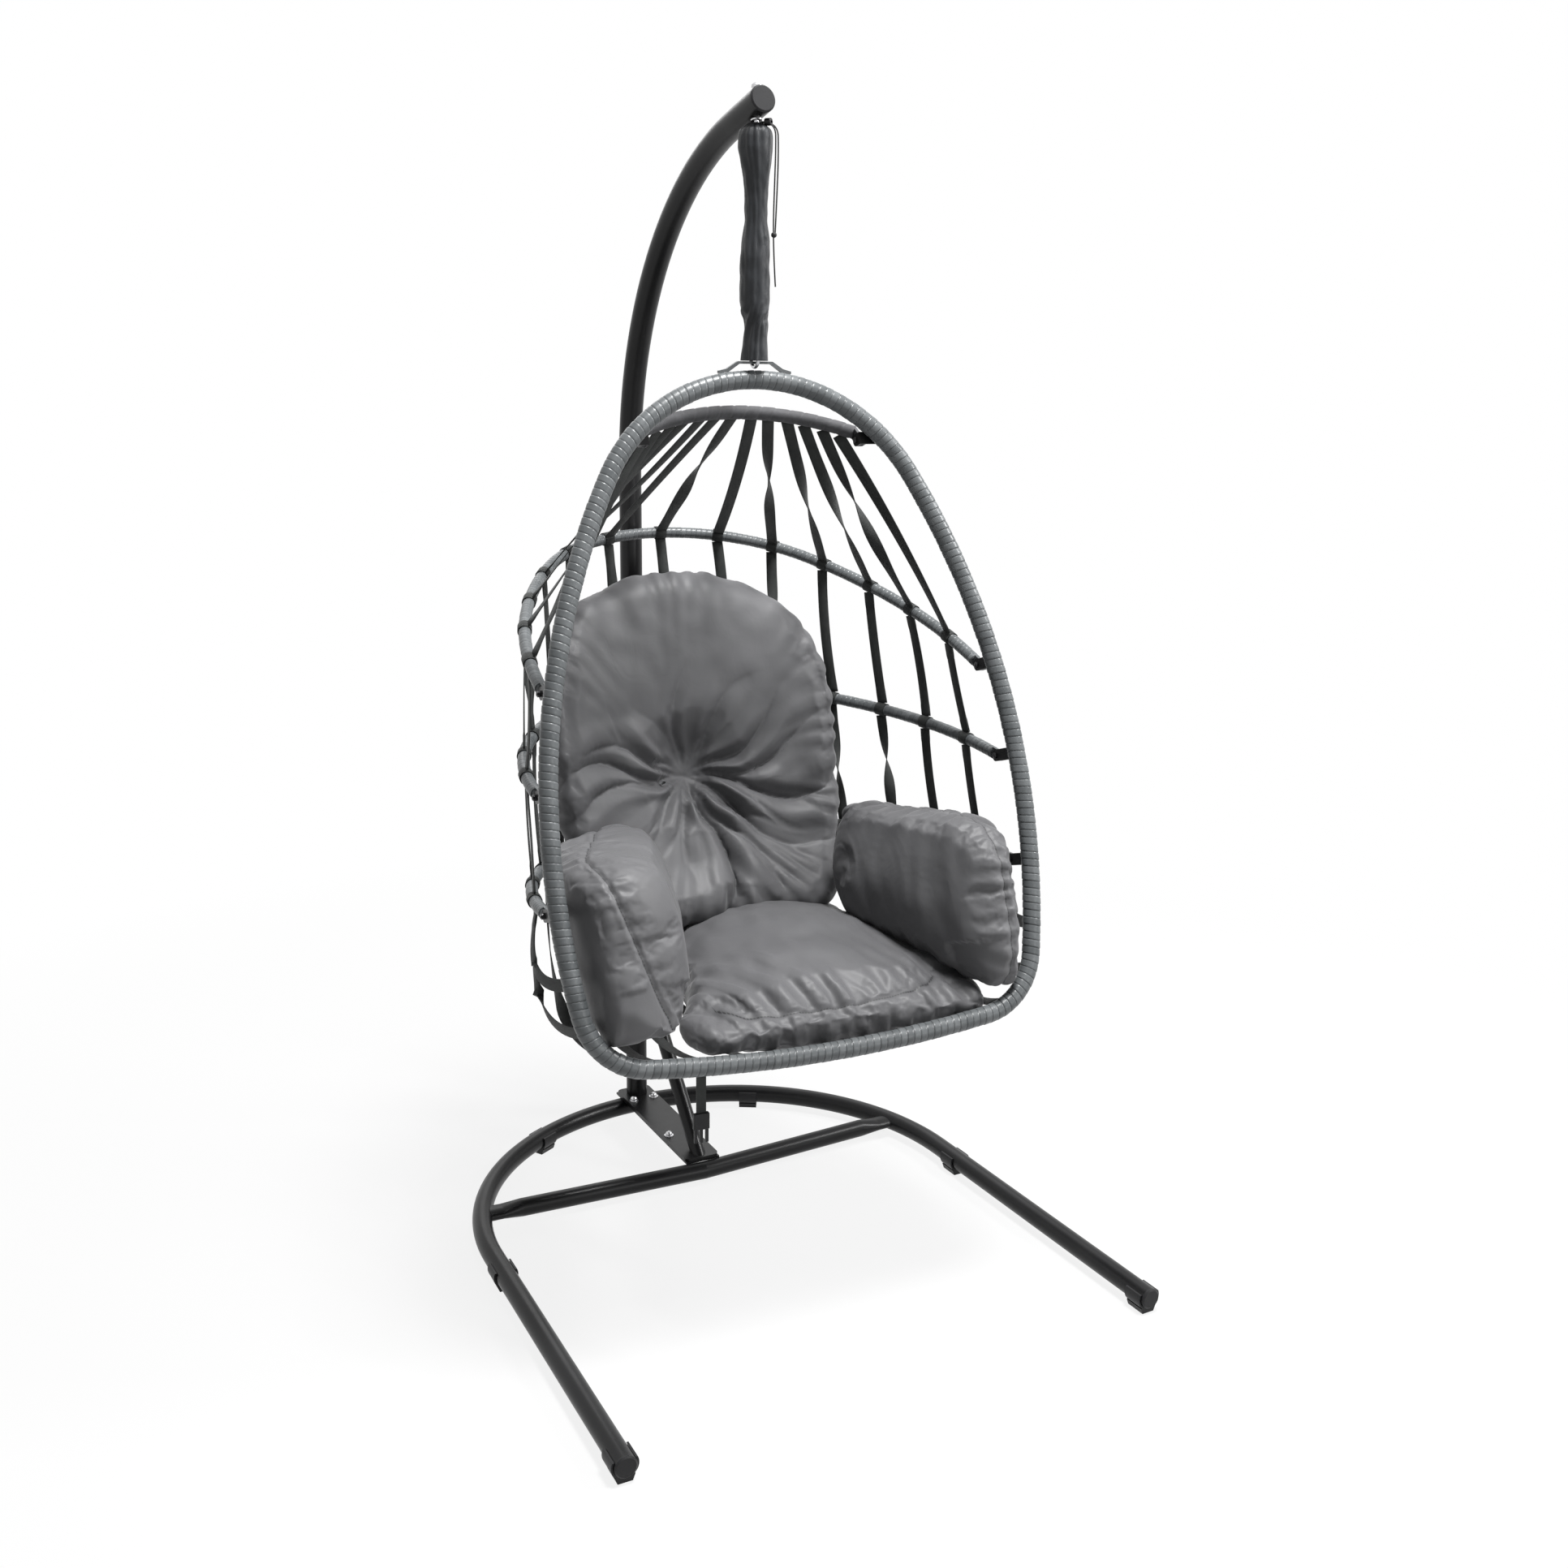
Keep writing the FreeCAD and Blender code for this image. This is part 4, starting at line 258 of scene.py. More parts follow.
def makeResin(name, low, high, groove):
    # wound strip: each turn has its own tone, fine streaks, and painted shade in the groove beside it
    material, tree, shader = newMaterial(name, low, 0.36)
    spot = objectPlace(tree)
    tone = doMath(tree, "ADD", doMath(tree, "MULTIPLY", readAttribute(tree, "tone"), 0.38),
                  doMath(tree, "MULTIPLY", noiseTexture(tree, spot, 60.0, 5.0), 0.55))
    colour = ramped(tree, tone, low, high, 0.2, 0.8)
    # painted shade: the colour turns to the dark groove tone where the groove attribute is high
    colour = darkened(tree, colour, readAttribute(tree, "groove"), groove)
    tree.links.new(colour, shader.inputs["Base Color"])
    varyRoughness(tree, shader, spot, 35.0, 0.22, 0.24)
    addBump(tree, shader, noiseTexture(tree, spot, 330.0, 3.0), 0.16, 0.0007)
    shader.inputs["Specular IOR Level"].default_value = 0.35
    return material


def makeWeave(name, low, high, roughness, pitch, strength, sheen=0.0):
    # woven cloth: two crossed sets of threads in the mesh's own UV
    material, tree, shader = newMaterial(name, low, roughness)
    colour = ramped(tree, noiseTexture(tree, objectPlace(tree), 38.0), low, high)
    tree.links.new(colour, shader.inputs["Base Color"])
    shader.inputs["Sheen Weight"].default_value = sheen
    shader.inputs["Sheen Roughness"].default_value = 0.4
    shader.inputs["Specular IOR Level"].default_value = 0.25
    uv = tree.nodes.new("ShaderNodeTexCoord").outputs["UV"]
    threads = []
    for direction in ("X", "Y"):
        wave = addNode(tree, "ShaderNodeTexWave", Scale=pitch, Distortion=0.4)
        wave.bands_direction = direction
        tree.links.new(uv, wave.inputs["Vector"])
        threads.append(wave.outputs["Fac"])
    addBump(tree, shader, doMath(tree, "MULTIPLY", *threads), strength, 0.0008)
    return material


stitching = {
    # painted shade: how far from the seam the painted shade of its crease reaches, and how dark it is
    "crease": 0.0026, "creaseShade": 0.55,  # how far from the seam its crease shows, and how dark it is
    "thread": 0.0010, "length": 0.0052, "share": 0.72,  # the stitch itself: half width, pitch, part that shows
}


def makeCushionCloth():
    # smooth polyester: a broad soft sheen, faint threads, small creases, painted shade in the crease beside each
    # seam, dark stitches along the seams
    material, tree, shader = newMaterial("cushion cloth", (0.15, 0.15, 0.155), 0.5)
    spot = objectPlace(tree)
    colour = ramped(tree, noiseTexture(tree, spot, 5.0, 3.0), (0.088, 0.088, 0.092), (0.110, 0.110, 0.114))
    away = doMath(tree, "ABSOLUTE", readAttribute(tree, "seam"))
    s = stitching
    crease = doMath(tree, "SUBTRACT", 1.0, doMath(tree, "DIVIDE", away, s["crease"]), True)
    line = doMath(tree, "SUBTRACT", 1.0, doMath(tree, "DIVIDE", away, s["thread"]), True)
    run = doMath(tree, "FRACT", doMath(tree, "DIVIDE", readAttribute(tree, "along"), s["length"]))
    stitch = doMath(tree, "LESS_THAN", run, s["share"])
    # painted shade along each seam's crease; the next line is the dark thread of the stitches
    colour = darkened(tree, colour, doMath(tree, "MULTIPLY", crease, s["creaseShade"]), (0.035, 0.035, 0.037))
    colour = darkened(tree, colour, doMath(tree, "MULTIPLY", line, stitch), (0.010, 0.010, 0.011))
    tree.links.new(colour, shader.inputs["Base Color"])
    shader.inputs["Sheen Weight"].default_value = 0.10
    shader.inputs["Sheen Roughness"].default_value = 0.35
    shader.inputs["Specular IOR Level"].default_value = 0.30
    first = addBump(tree, shader, noiseTexture(tree, spot, 20.0, 4.0, 0.55, 1.3), 0.16, 0.004)
    addBump(tree, shader, noiseTexture(tree, spot, 1400.0, 1.0), 0.12, 0.0004, first)
    return material


finishes = {
    "black_paint": makePaint(),
    "black_plastic": makePlastic(),
    "steel": makeSteel("zinc plate", (0.48, 0.48, 0.49), (0.70, 0.70, 0.71), 0.30, 1.0),
    "dark_steel": makeSteel("dark bolt", (0.028, 0.028, 0.030), (0.044, 0.044, 0.046), 0.34, 0.6),
    # the resin strip's third tone is the painted shade in the grooves between turns
    "resin_wrap": makeResin("resin strip", (0.070, 0.076, 0.079), (0.128, 0.136, 0.140), (0.016, 0.017, 0.018)),
    "tape_wrap": makeWeave("grey tape", (0.045, 0.045, 0.048), (0.075, 0.075, 0.079), 0.6, 260.0, 0.4),
    "webbing": makeWeave("webbing", (0.014, 0.0155, 0.015), (0.025, 0.027, 0.026), 0.58, 300.0, 0.5, 0.06),
    "cushion_cloth": makeCushionCloth(),
    "sleeve_cloth": makeWeave(
        "sleeve cloth", (0.014, 0.015, 0.017), (0.024, 0.026, 0.029), 0.42, 700.0, 0.2, 0.08),
    "cord": makeWeave("cord", (0.010, 0.010, 0.010), (0.018, 0.018, 0.018), 0.6, 400.0, 0.3),
}
slotOf = {part["node"]: part["material_slot"] for part in frame["record"]["subparts"]}
for name, node in frame["nodes"].items():
    node.data.materials.clear()
    node.data.materials.append(finishes[slotOf[name]])
    node.data.shade_smooth()
print("finishes on the frame")


# Drawstring: two ends of one cord out of the sleeve's neck, through the toggle, tied lower down
drawstring = {
    "diameter": 0.0024,
    "turn": math.radians(52),  # side of the sleeve on which it hangs
    # out from the hang axis, along square to that, above the sleeve's top, in mm
    "long": [(8.4, -1.6, 1.4), (33.0, -1.6, 1.2), (33.6, -1.0, -40), (31.8, -0.4, -92), (30.2, -0.2, -146),
             (31.4, 0.4, -196), (34.5, 0.6, -240)],
    "short": [(8.4, 1.6, 1.4), (35.4, 1.8, 1.0), (36.6, 2.6, -42), (35.2, 2.4, -96), (32.7, 1.6, -160)],
}


def cordSpot(out, along, rise):
    turn = drawstring["turn"]
    ahead = Vector((math.cos(turn), -math.sin(turn), 0))
    aside = Vector((-ahead.y, ahead.x, 0))
    centre = Vector((0, place["hangBack"], place["sleeveTop"]))
    return centre + ahead * (out / 1000) + aside * (along / 1000) + Vector((0, 0, rise / 1000))


def makeCord(name, spots):
    points = [cordSpot(*spot) for spot in spots]
    curve = bpy.data.curves.new(name, "CURVE")
    curve.dimensions = "3D"
    curve.bevel_resolution = 4
    curve.use_fill_caps = True
    spline = curve.splines.new("NURBS")
    spline.points.add(len(points) - 1)
    for point, spot in zip(spline.points, points):
        point.co = (*spot, 1)
    spline.order_u = 3
    spline.use_endpoint_u = True
    spline.resolution_u = 24
    curve.materials.append(finishes["cord"])
    cord = added(name, curve)
    thread = bpy.data.meshes.new_from_object(cord)
    line = np.array([v.co[:] for v in thread.vertices])
    print(name, "runs %.4f m" % np.linalg.norm(np.diff(line, axis=0), axis=1).sum())
    bpy.data.meshes.remove(thread)
    curve.bevel_depth = drawstring["diameter"] / 2
    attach(cord, "stand")
    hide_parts("sleeve_cord")


makeCord("long_strand", drawstring["long"])
makeCord("short_strand", drawstring["short"])


# Meshes
def readMesh(made):
    count = len(made.data.vertices)
    co, normals = np.zeros(count * 3), np.zeros(count * 3)
    made.data.vertices.foreach_get("co", co)
    made.data.vertex_normals.foreach_get("vector", normals)
    return co.reshape(-1, 3), normals.reshape(-1, 3)


def writeMesh(made, co):
    made.data.vertices.foreach_set("co", np.ascontiguousarray(co).ravel())
    made.data.update()


def setAttribute(mesh, name, values):
    layer = mesh.attributes.new(name, "FLOAT", "POINT")
    layer.data.foreach_set("value", np.asarray(values, np.float32).ravel())


def gridMesh(name, grid, finish, closeRows=False, caps=True):
    # rows of points, one row to a section; its UVs are metres along and around
    rows, columns = grid.shape[:2]
    lastRow = rows if closeRows else rows - 1
    r, c = np.meshgrid(np.arange(lastRow), np.arange(columns), indexing="ij")
    r, c = r.ravel(), c.ravel()
    nextRow, nextColumn = (r + 1) % rows, (c + 1) % columns
    quads = np.stack([r * columns + c, r * columns + nextColumn, nextRow * columns + nextColumn,
                      nextRow * columns + c], 1)
    faces = quads.tolist()
    if caps and not closeRows:
        faces.append(list(range(columns))[::-1])
        faces.append([(rows - 1) * columns + i for i in range(columns)])
    mesh = bpy.data.meshes.new(name)
    mesh.from_pydata(grid.reshape(-1, 3).tolist(), [], faces)
    along = np.concatenate([[0], np.cumsum(np.linalg.norm(np.diff(grid.mean(1), axis=0), axis=1))])
    girth = np.linalg.norm(np.roll(grid[0], -1, axis=0) - grid[0], axis=1)
    around = np.concatenate([[0], np.cumsum(girth)])
    layer = mesh.uv_layers.new(name="UVMap")
    end = np.where(nextRow == 0, along[-1], along[nextRow])
    uv = np.zeros((len(layer.data), 2))
    count = len(quads) * 4
    uv[:count, 0] = np.stack([along[r], along[r], end, end], 1).ravel()
    uv[:count, 1] = np.stack([around[c], around[c + 1], around[c + 1], around[c]], 1).ravel()
    layer.data.foreach_set("uv", uv.ravel())
    mesh.shade_smooth()
    mesh.materials.append(finish)
    return added(name, mesh)


def joined(name, pieces):
    vertices, faces, uvs = [], [], []
    start = 0
    for piece in pieces:
        mesh = piece.data
        vertices.append(readMesh(piece)[0])
        faces += [[start + i for i in polygon.vertices] for polygon in mesh.polygons]
        uv = np.zeros(len(mesh.loops) * 2)
        mesh.uv_layers[0].data.foreach_get("uv", uv)
        uvs.append(uv)
        start += len(mesh.vertices)
    whole = bpy.data.meshes.new(name)
    whole.from_pydata(np.concatenate(vertices).tolist(), [], faces)
    whole.uv_layers.new(name="UVMap").data.foreach_set("uv", np.concatenate(uvs))
    whole.shade_smooth()
    whole.materials.append(pieces[0].data.materials[0])
    for piece in pieces:
        bpy.data.objects.remove(piece)
    return added(name, whole)


# The lines of the hoop and the bows
def arcPoints(centre, radius, start, end):
    count = max(2, int(abs(end - start) * radius / detail["lineStep"]) + 1)
    angles = np.linspace(start, end, count)
    return np.stack([centre[0] + radius * np.cos(angles), centre[1] + radius * np.sin(angles)], 1)


def hoopArcs():
    # the right half as (centre, radius, start angle, end angle), from the top down
    s = hoopShape
    top, half, widest = s["topRadius"], s["halfWidth"], s["widestDrop"]
    corner, bottom = s["corner"], s["bottomRadius"]
    side = (half ** 2 + (widest - top) ** 2 - top ** 2) / (2 * (half - top))
    topCentre = np.array([0, -top])
    sideCentre = np.array([half - side, -widest])
    bottomCentre = np.array([0, bottom - s["height"]])
    between = bottomCentre - sideCentre
    gap = np.linalg.norm(between)
    along = ((side - corner) ** 2 - (bottom - corner) ** 2 + gap ** 2) / (2 * gap)
    away = math.sqrt((side - corner) ** 2 - along ** 2)
    ahead = between / gap
    cornerCentre = sideCentre + ahead * along + np.array([ahead[1], -ahead[0]]) * away

    def angle(v):
        return math.atan2(v[1], v[0])

    first = angle(topCentre - sideCentre)
    second = angle(cornerCentre - sideCentre)
    third = angle(cornerCentre - bottomCentre)
    return [
        (topCentre, top, math.pi / 2, first), (sideCentre, side, first, second),
        (cornerCentre, corner, second, third), (bottomCentre, bottom, third, -math.pi / 2),
    ]


def hoopLine():
    half = np.concatenate([arcPoints(*arc)[:-1] for arc in hoopArcs()])
    low = np.array([[0, -hoopShape["height"]]])
    flat = np.concatenate([half, low, half[1:][::-1] * np.array([-1, 1])])
    return moved(hoopPlane, np.stack([flat[:, 0], np.zeros(len(flat)), flat[:, 1]], 1))


def bowFrame(name):
    s = bowShape[name]
    local = hang.inverted() @ (hoopPlane @ Vector((0, s["off"], -s["drop"])))
    return hang @ Matrix.Translation((0, local.y, local.z)) @ Matrix.Rotation(math.radians(s["rise"]), 4, "X")


def bowHalf(name):
    # the right half of a bow in its own plane: arcs from the rear middle to its end
    s = bowShape[name]
    half, reach, bend, start = s["half"], s["reach"], s["bend"], s["start"]
    depth = reach - start
    if not bend:
        radius = (half ** 2 + depth ** 2) / (2 * depth)
        centre = np.array([0, reach - radius])
        return [(centre, radius, math.pi / 2, math.atan2(start - centre[1], half))]
    side = (bend ** 2 - half ** 2 - (depth - bend) ** 2) / (2 * (bend - half))
    rear, flank = np.array([0, reach - bend]), np.array([half - side, start])
    turn = math.atan2(rear[1] - flank[1], rear[0] - flank[0])
    return [(rear, bend, math.pi / 2, turn), (flank, side, turn, 0.0)]


def bowLine(name):
    half = np.concatenate([arcPoints(*arc)[(i > 0):] for i, arc in enumerate(bowHalf(name))])
    flat = np.concatenate([half[1:][::-1] * np.array([-1, 1]), half])
    return moved(bowFrame(name), np.stack([flat[:, 0], flat[:, 1], np.zeros(len(flat))], 1))


def evenly(line, closed, step):
    # the same line at equal spacing: points, directions, lengths along, whole length
    points = np.concatenate([line, line[:1]]) if closed else line
    lengths = np.concatenate([[0], np.cumsum(np.linalg.norm(np.diff(points, axis=0), axis=1))])
    count = max(3, int(round(lengths[-1] / step)))
    at = np.linspace(0, lengths[-1], count + 1)
    if closed:
        at = at[:-1]
    even = np.stack([np.interp(at, lengths, points[:, i]) for i in range(3)], 1)
    if closed:
        ahead = unit(np.roll(even, -1, axis=0) - np.roll(even, 1, axis=0))
    else:
        ahead = unit(np.gradient(even, axis=0))
    return even, ahead, at, lengths[-1]


# Wound strips
winding = {
    "hoopPitch": 0.0122, "hoopGroove": 0.0013, "hoopOver": 0.0002,
    "bowPitch": 0.0098, "bowGroove": 0.0009, "bowOver": 0.0008,
    "tapePitch": 0.024, "tapeGroove": 0.0012, "tapeOver": 0.0006,
    "flatness": 10,  # how flat each turn is across, as a power
    "uneven": 0.2, "tilt": 0.3,  # how much one turn stands out and leans, as shares of the groove
    # painted shade in the grooves between turns: where in the dip it starts, over what share it grows, and how
    # dark it gets
    "shadeFrom": 0.25, "shadeOver": 0.6, "shade": 0.85,
}


def windStrip(name, line, closed, planeNormal, radius, groove, pitch, finish, around, steps):
    whole = evenly(line, closed, pitch)[3]
    turns = max(1, round(whole / pitch))
    centres, ahead, at, total = evenly(line, closed, whole / (turns * steps))
    across = unit(np.cross(ahead, planeNormal))
    up = np.broadcast_to(unit(np.asarray(planeNormal, float)), across.shape)
    angles = np.linspace(0, 2 * math.pi, around, endpoint=False)
    wound = at[:, None] / total * turns - angles[None, :] / (2 * math.pi)
    phase, turn = wound % 1.0, np.floor(wound).astype(int) % turns
    w = winding
    lift = np.array([rng.uniform(-w["uneven"], w["uneven"]) for _ in range(turns)])
    tone = np.array([rng.uniform(0, 1) for _ in range(turns)])
    valley = np.abs(2 * phase - 1) ** w["flatness"]
    tilt = (phase - 0.5) * w["tilt"]
    out = radius + groove * (-valley + (tilt + lift[turn]) * (1 - valley))
    grid = centres[:, None, :] + out[:, :, None] * (
        np.cos(angles)[None, :, None] * across[:, None, :] + np.sin(angles)[None, :, None] * up[:, None, :])
    made = gridMesh(name, grid, finish, closeRows=closed)
    setAttribute(made.data, "tone", tone[turn])
    # the groove attribute is painted shade in the dips between the turns
    setAttribute(made.data, "groove", smoothStep((valley - w["shadeFrom"]) / w["shadeOver"]) * w["shade"])
    return made


def windHoop():
    w = winding
    strip = windStrip(
        "hoop_strip", hoopLine(), True, turned(hoopPlane, [[0, 1, 0]])[0], hoopShape["tube"] + w["hoopOver"],
        w["hoopGroove"], w["hoopPitch"], finishes["resin_wrap"], detail["hoopAround"], detail["hoopSteps"])
    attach(strip, "basket")
    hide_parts("hoop_wrap")
    print("hoop wound")


def windBows():
    w = winding
    for name, shape in bowShape.items():
        kind = "tape" if name == "top" else "bow"
        slot = "tape_wrap" if name == "top" else "resin_wrap"
        strip = windStrip(
            name + "_bow_strip", bowLine(name), False, turned(bowFrame(name), [[0, 0, 1]])[0],
            shape["tube"] + w[kind + "Over"], w[kind + "Groove"], w[kind + "Pitch"], finishes[slot],
            detail["bowAround"], detail["bowSteps"])
        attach(strip, name + "_bow_body")
    print("bows wound")


windHoop()
windBows()


# Webbing
webbing = {
    "count": 13, "width": 0.020, "thick": 0.0016, "skin": 0.0010,
    "doubled": 0.022, "fold": 0.004,  # how far the folded end is sewn back, and over what length it thins
    "sag": 0.008, "sagSpan": 0.4,  # stray of a strap this long
    "turnFrom": 0.12, "turnOver": 0.76,  # where along a strap its half turn lies
    "twistSpan": 0.2,  # longer straps are turned more often
    "endShare": 0.6,  # how far the outer straps keep from the hinges, as a share of the spacing
    "underHinge": 0.040,  # the seat straps start this far under the lower hinge
    "bulge": (0.14, 0.10, -0.25, 0.03),  # seat straps: outwards, back and down in the middle, less at the sides
    # half the outline across the band, as shares of its width and thickness
    "edge": [(-0.5, -0.32), (-0.485, -0.5), (0, -0.5), (0.485, -0.5), (0.5, -0.32)],
    "loopSides": 28,
}
strapShares = [
    2 * (i - (webbing["count"] - 1) / 2) / (webbing["count"] + webbing["endShare"])
    for i in range(webbing["count"])]


def bowAt(name, share):
    # a place on a bow and the bow's direction; share runs from -1 to 1 between its ends
    line, ahead, _, _ = evenly(bowLine(name), False, detail["lineStep"])
    i = min(int(round((share + 1) / 2 * (len(line) - 1))), len(line) - 1)
    return line[i], ahead[i]


def lowHoopAt(share):
    # the foot of a seat strap on the lower hoop, and the hoop's direction there
    _, (centre, radius, _, end), corner, bottom = hoopArcs()
    fromHinge = -bowShape["lower"]["drop"] - webbing["underHinge"]
    hingeAngle = math.asin((fromHinge - centre[1]) / radius)
    arcs = [(centre, radius, hingeAngle, end), corner, bottom]
    flat = np.concatenate([arcPoints(*arc) for arc in arcs])[::-1]
    lengths = np.concatenate([[0], np.cumsum(np.linalg.norm(np.diff(flat, axis=0), axis=1))])
    spot = abs(share) * lengths[-1]
    sign = 1 if share >= 0 else -1

    def at(run):
        return np.array([sign * np.interp(run, lengths, flat[:, 0]), 0, np.interp(run, lengths, flat[:, 1])])

    near = detail["lineStep"]
    ahead = unit(at(spot + near) - at(spot - near))
    return moved(hoopPlane, [at(spot)])[0], turned(hoopPlane, [ahead])[0]


def bandMesh(name, centres, wides, thick, around=False):
    # a flat band with soft edges; thick may vary along it, wides point across it
    width = webbing["width"]
    if around:
        normals = unit(centres - centres.mean(0))
    else:
        ahead = unit(np.gradient(centres, axis=0))
        wides = unit(wides - ahead * np.sum(wides * ahead, axis=1, keepdims=True))
        normals = np.cross(ahead, wides)
    thick = np.broadcast_to(np.asarray(thick, float), (len(centres),))
    outline = webbing["edge"] + [(-a, -b) for a, b in webbing["edge"]]
    rows = [centres + wides * (a * width) + normals * (b * thick)[:, None] for a, b in outline]
    return gridMesh(name, np.stack(rows, 1), finishes["webbing"], closeRows=around)


def loopMesh(name, centre, axis, towards, radius):
    # the end of a strap sewn round a tube
    first = unit(towards - axis * np.dot(towards, axis))
    second = np.cross(axis, first)
    angles = np.linspace(0, 2 * math.pi, webbing["loopSides"] + 1)[:-1, None]
    ring = centre + (radius + webbing["thick"] / 2) * (np.cos(angles) * first + np.sin(angles) * second)
    return bandMesh(name, ring, np.broadcast_to(axis, ring.shape), webbing["thick"], around=True)


def strapBetween(label, high, low, highRadius, lowRadius, twist, sag, loops, samples):
    # one strap; twist is in half turns, sag is a vector at its middle, loops says which ends show theirs
    (a, wideA), (b, wideB) = high, low
    thick = webbing["thick"]
    run = unit(b - a)
    start = a + unit(run - wideA * np.dot(run, wideA)) * (highRadius + thick * 0.5)
    end = b - unit(run - wideB * np.dot(run, wideB)) * (lowRadius + thick * 0.5)
    t = np.linspace(0, 1, samples)[:, None]
    centres = start + (end - start) * t + sag * (4 * t * (1 - t))
    wides = wideA * (1 - t) + wideB * t
    turn = twist * math.pi * smoothStep((t - webbing["turnFrom"]) / webbing["turnOver"])
    ahead = unit(np.gradient(centres, axis=0))
    wides = unit(wides - ahead * np.sum(wides * ahead, axis=1, keepdims=True))
    wides = wides * np.cos(turn) + np.cross(ahead, wides) * np.sin(turn)
    fromEnd = np.where(t[:, 0] < 0.5, np.where(loops[0], t[:, 0], 1), np.where(loops[1], 1 - t[:, 0], 1))
    sewn = 1 - smoothStep((fromEnd * np.linalg.norm(end - start) - webbing["doubled"]) / webbing["fold"])
    pieces = [bandMesh(label, centres, wides, thick * (1 + 0.9 * sewn))]
    if loops[0]:
        pieces.append(loopMesh(label, a, wideA, run, highRadius))
    if loops[1]:
        pieces.append(loopMesh(label, b, wideB, -run, lowRadius))
    return pieces


def finishStraps(strips, node):
    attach(strips, "basket")
    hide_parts(node)
    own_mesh(strips)


def makeStraps():
    skin = webbing["skin"]
    samples = detail["strapSamples"]
    spans = (
        ("top", "upper", "top_straps"), ("upper", "middle", "upper_straps"), ("middle", "lower", "middle_straps"))
    for upper, lower, node in spans:
        pieces = []
        for share in strapShares:
            high, low = bowAt(upper, share), bowAt(lower, share)
            length = np.linalg.norm(high[0] - low[0])
            turns = (0, 0, 1, -1, 0) if length > webbing["twistSpan"] else (0, 0, 0, 1)
            twist = rng.choice(turns)
            drift = np.array([rng.uniform(-1, 1), rng.uniform(-0.4, 1), rng.uniform(-0.3, 0.3)])
            pieces += strapBetween(
                node, high, low, bowShape[upper]["tube"] + skin, bowShape[lower]["tube"] + skin, twist,
                drift * webbing["sag"] * length / webbing["sagSpan"], (upper != "top", True), samples)
        finishStraps(joined(node + "_webbing", pieces), node)
    pieces = []
    outwards, back, down, lessDown = webbing["bulge"]
    for share in strapShares:
        high, low = bowAt("lower", share), lowHoopAt(share)
        side = 1 if share > 0 else -1
        bulge = turned(hang, [[side * outwards * share * share, back, down + lessDown * abs(share)]])[0]
        pieces += strapBetween(
            "seat_strap", high, low, bowShape["lower"]["tube"] + skin, hoopShape["tube"] + skin, 0,
            bulge * np.linalg.norm(low[0] - high[0]), (True, False), samples)
    finishStraps(joined("seat_webbing", pieces), "seat_straps")
    print("straps made")


makeStraps()


# Cushions
cushion = {
    "slack": 0.001,  # the cloth starts this far inside the solid, and then swells
    "rounding": 4,
    # the simulated cover
    "frames": 14, "quality": 4, "mass": 0.25, "stretch": 12, "shear": 4, "bend": 0.15,
    "pressure": 4.5, "spare": -0.06,
    "sink": 0.003, "slide": 0.006,  # how far it may go in, and along itself
}


def settled(made):
    # the object's mesh with its modifiers applied
    return bpy.data.meshes.new_from_object(made.evaluated_get(bpy.context.evaluated_depsgraph_get()))


def addSmooth(made, rounds, group=""):
    soft = made.modifiers.new("soft", "SMOOTH")
    soft.factor = 0.5
    soft.iterations = rounds
    soft.vertex_group = group


def softCopy(node):
    # a cushion's solid as an even, smooth mesh, a little smaller
    made = added(node + "_cloth", frame["nodes"][node].data.copy())
    remesh = made.modifiers.new("even", "REMESH")
    remesh.mode = "VOXEL"
    remesh.voxel_size = detail["voxel"]
    addSmooth(made, cushion["rounding"])
    even = settled(made)
    made.modifiers.clear()
    made.data = even
    even.materials.clear()
    even.materials.append(finishes["cushion_cloth"])
    even.shade_smooth()
    pushOut(made, np.full(len(even.vertices), -cushion["slack"]))
    return made


def relax(made, weight, rounds):
    # smooth a part of the mesh; weight is 0 to 1 for each point
    group = made.vertex_groups.new(name="part")
    for index in np.flatnonzero(weight > 0):
        group.add([int(index)], float(weight[index]), "REPLACE")
    addSmooth(made, rounds, "part")
    smooth = settled(made)
    made.modifiers.clear()
    made.vertex_groups.clear()
    made.data = smooth


def pushOut(made, amount):
    co, normals = readMesh(made)
    writeMesh(made, co + normals * amount[:, None])


def noiseAt(co, scale, stretch=(1, 1, 1), seed=0.0):
    return np.array([noise.noise(Vector(p)) for p in co * np.asarray(stretch, float) * scale + seed])


def lumps(co, rows):
    # rows hold height, scale, stretch and seed
    return sum(height * noiseAt(co, scale, stretch, seed) for height, scale, stretch, seed in rows)


def groove(distance, width, depth):
    return -depth * np.exp(-np.abs(distance) / width)


def gathers(distance, along, folds, shift=0):
    # small folds square to a seam, which die out away from it
    pitch, reach, height, seed = folds
    seed += shift
    flat = along * 0
    wander = noiseAt(np.stack([along, distance * 0.5, flat], 1), 9.0, seed=seed)
    strength = 0.55 + 0.9 * noiseAt(np.stack([along, flat, flat], 1), 5.0, seed=seed + 7)
    wave = np.sin(2 * math.pi * along / pitch + 6.0 * wander)
    fold = np.sign(wave) * np.abs(wave) ** 0.7
    return height * fold * np.clip(strength, 0, 1.5) * np.exp(-np.abs(distance) / reach)


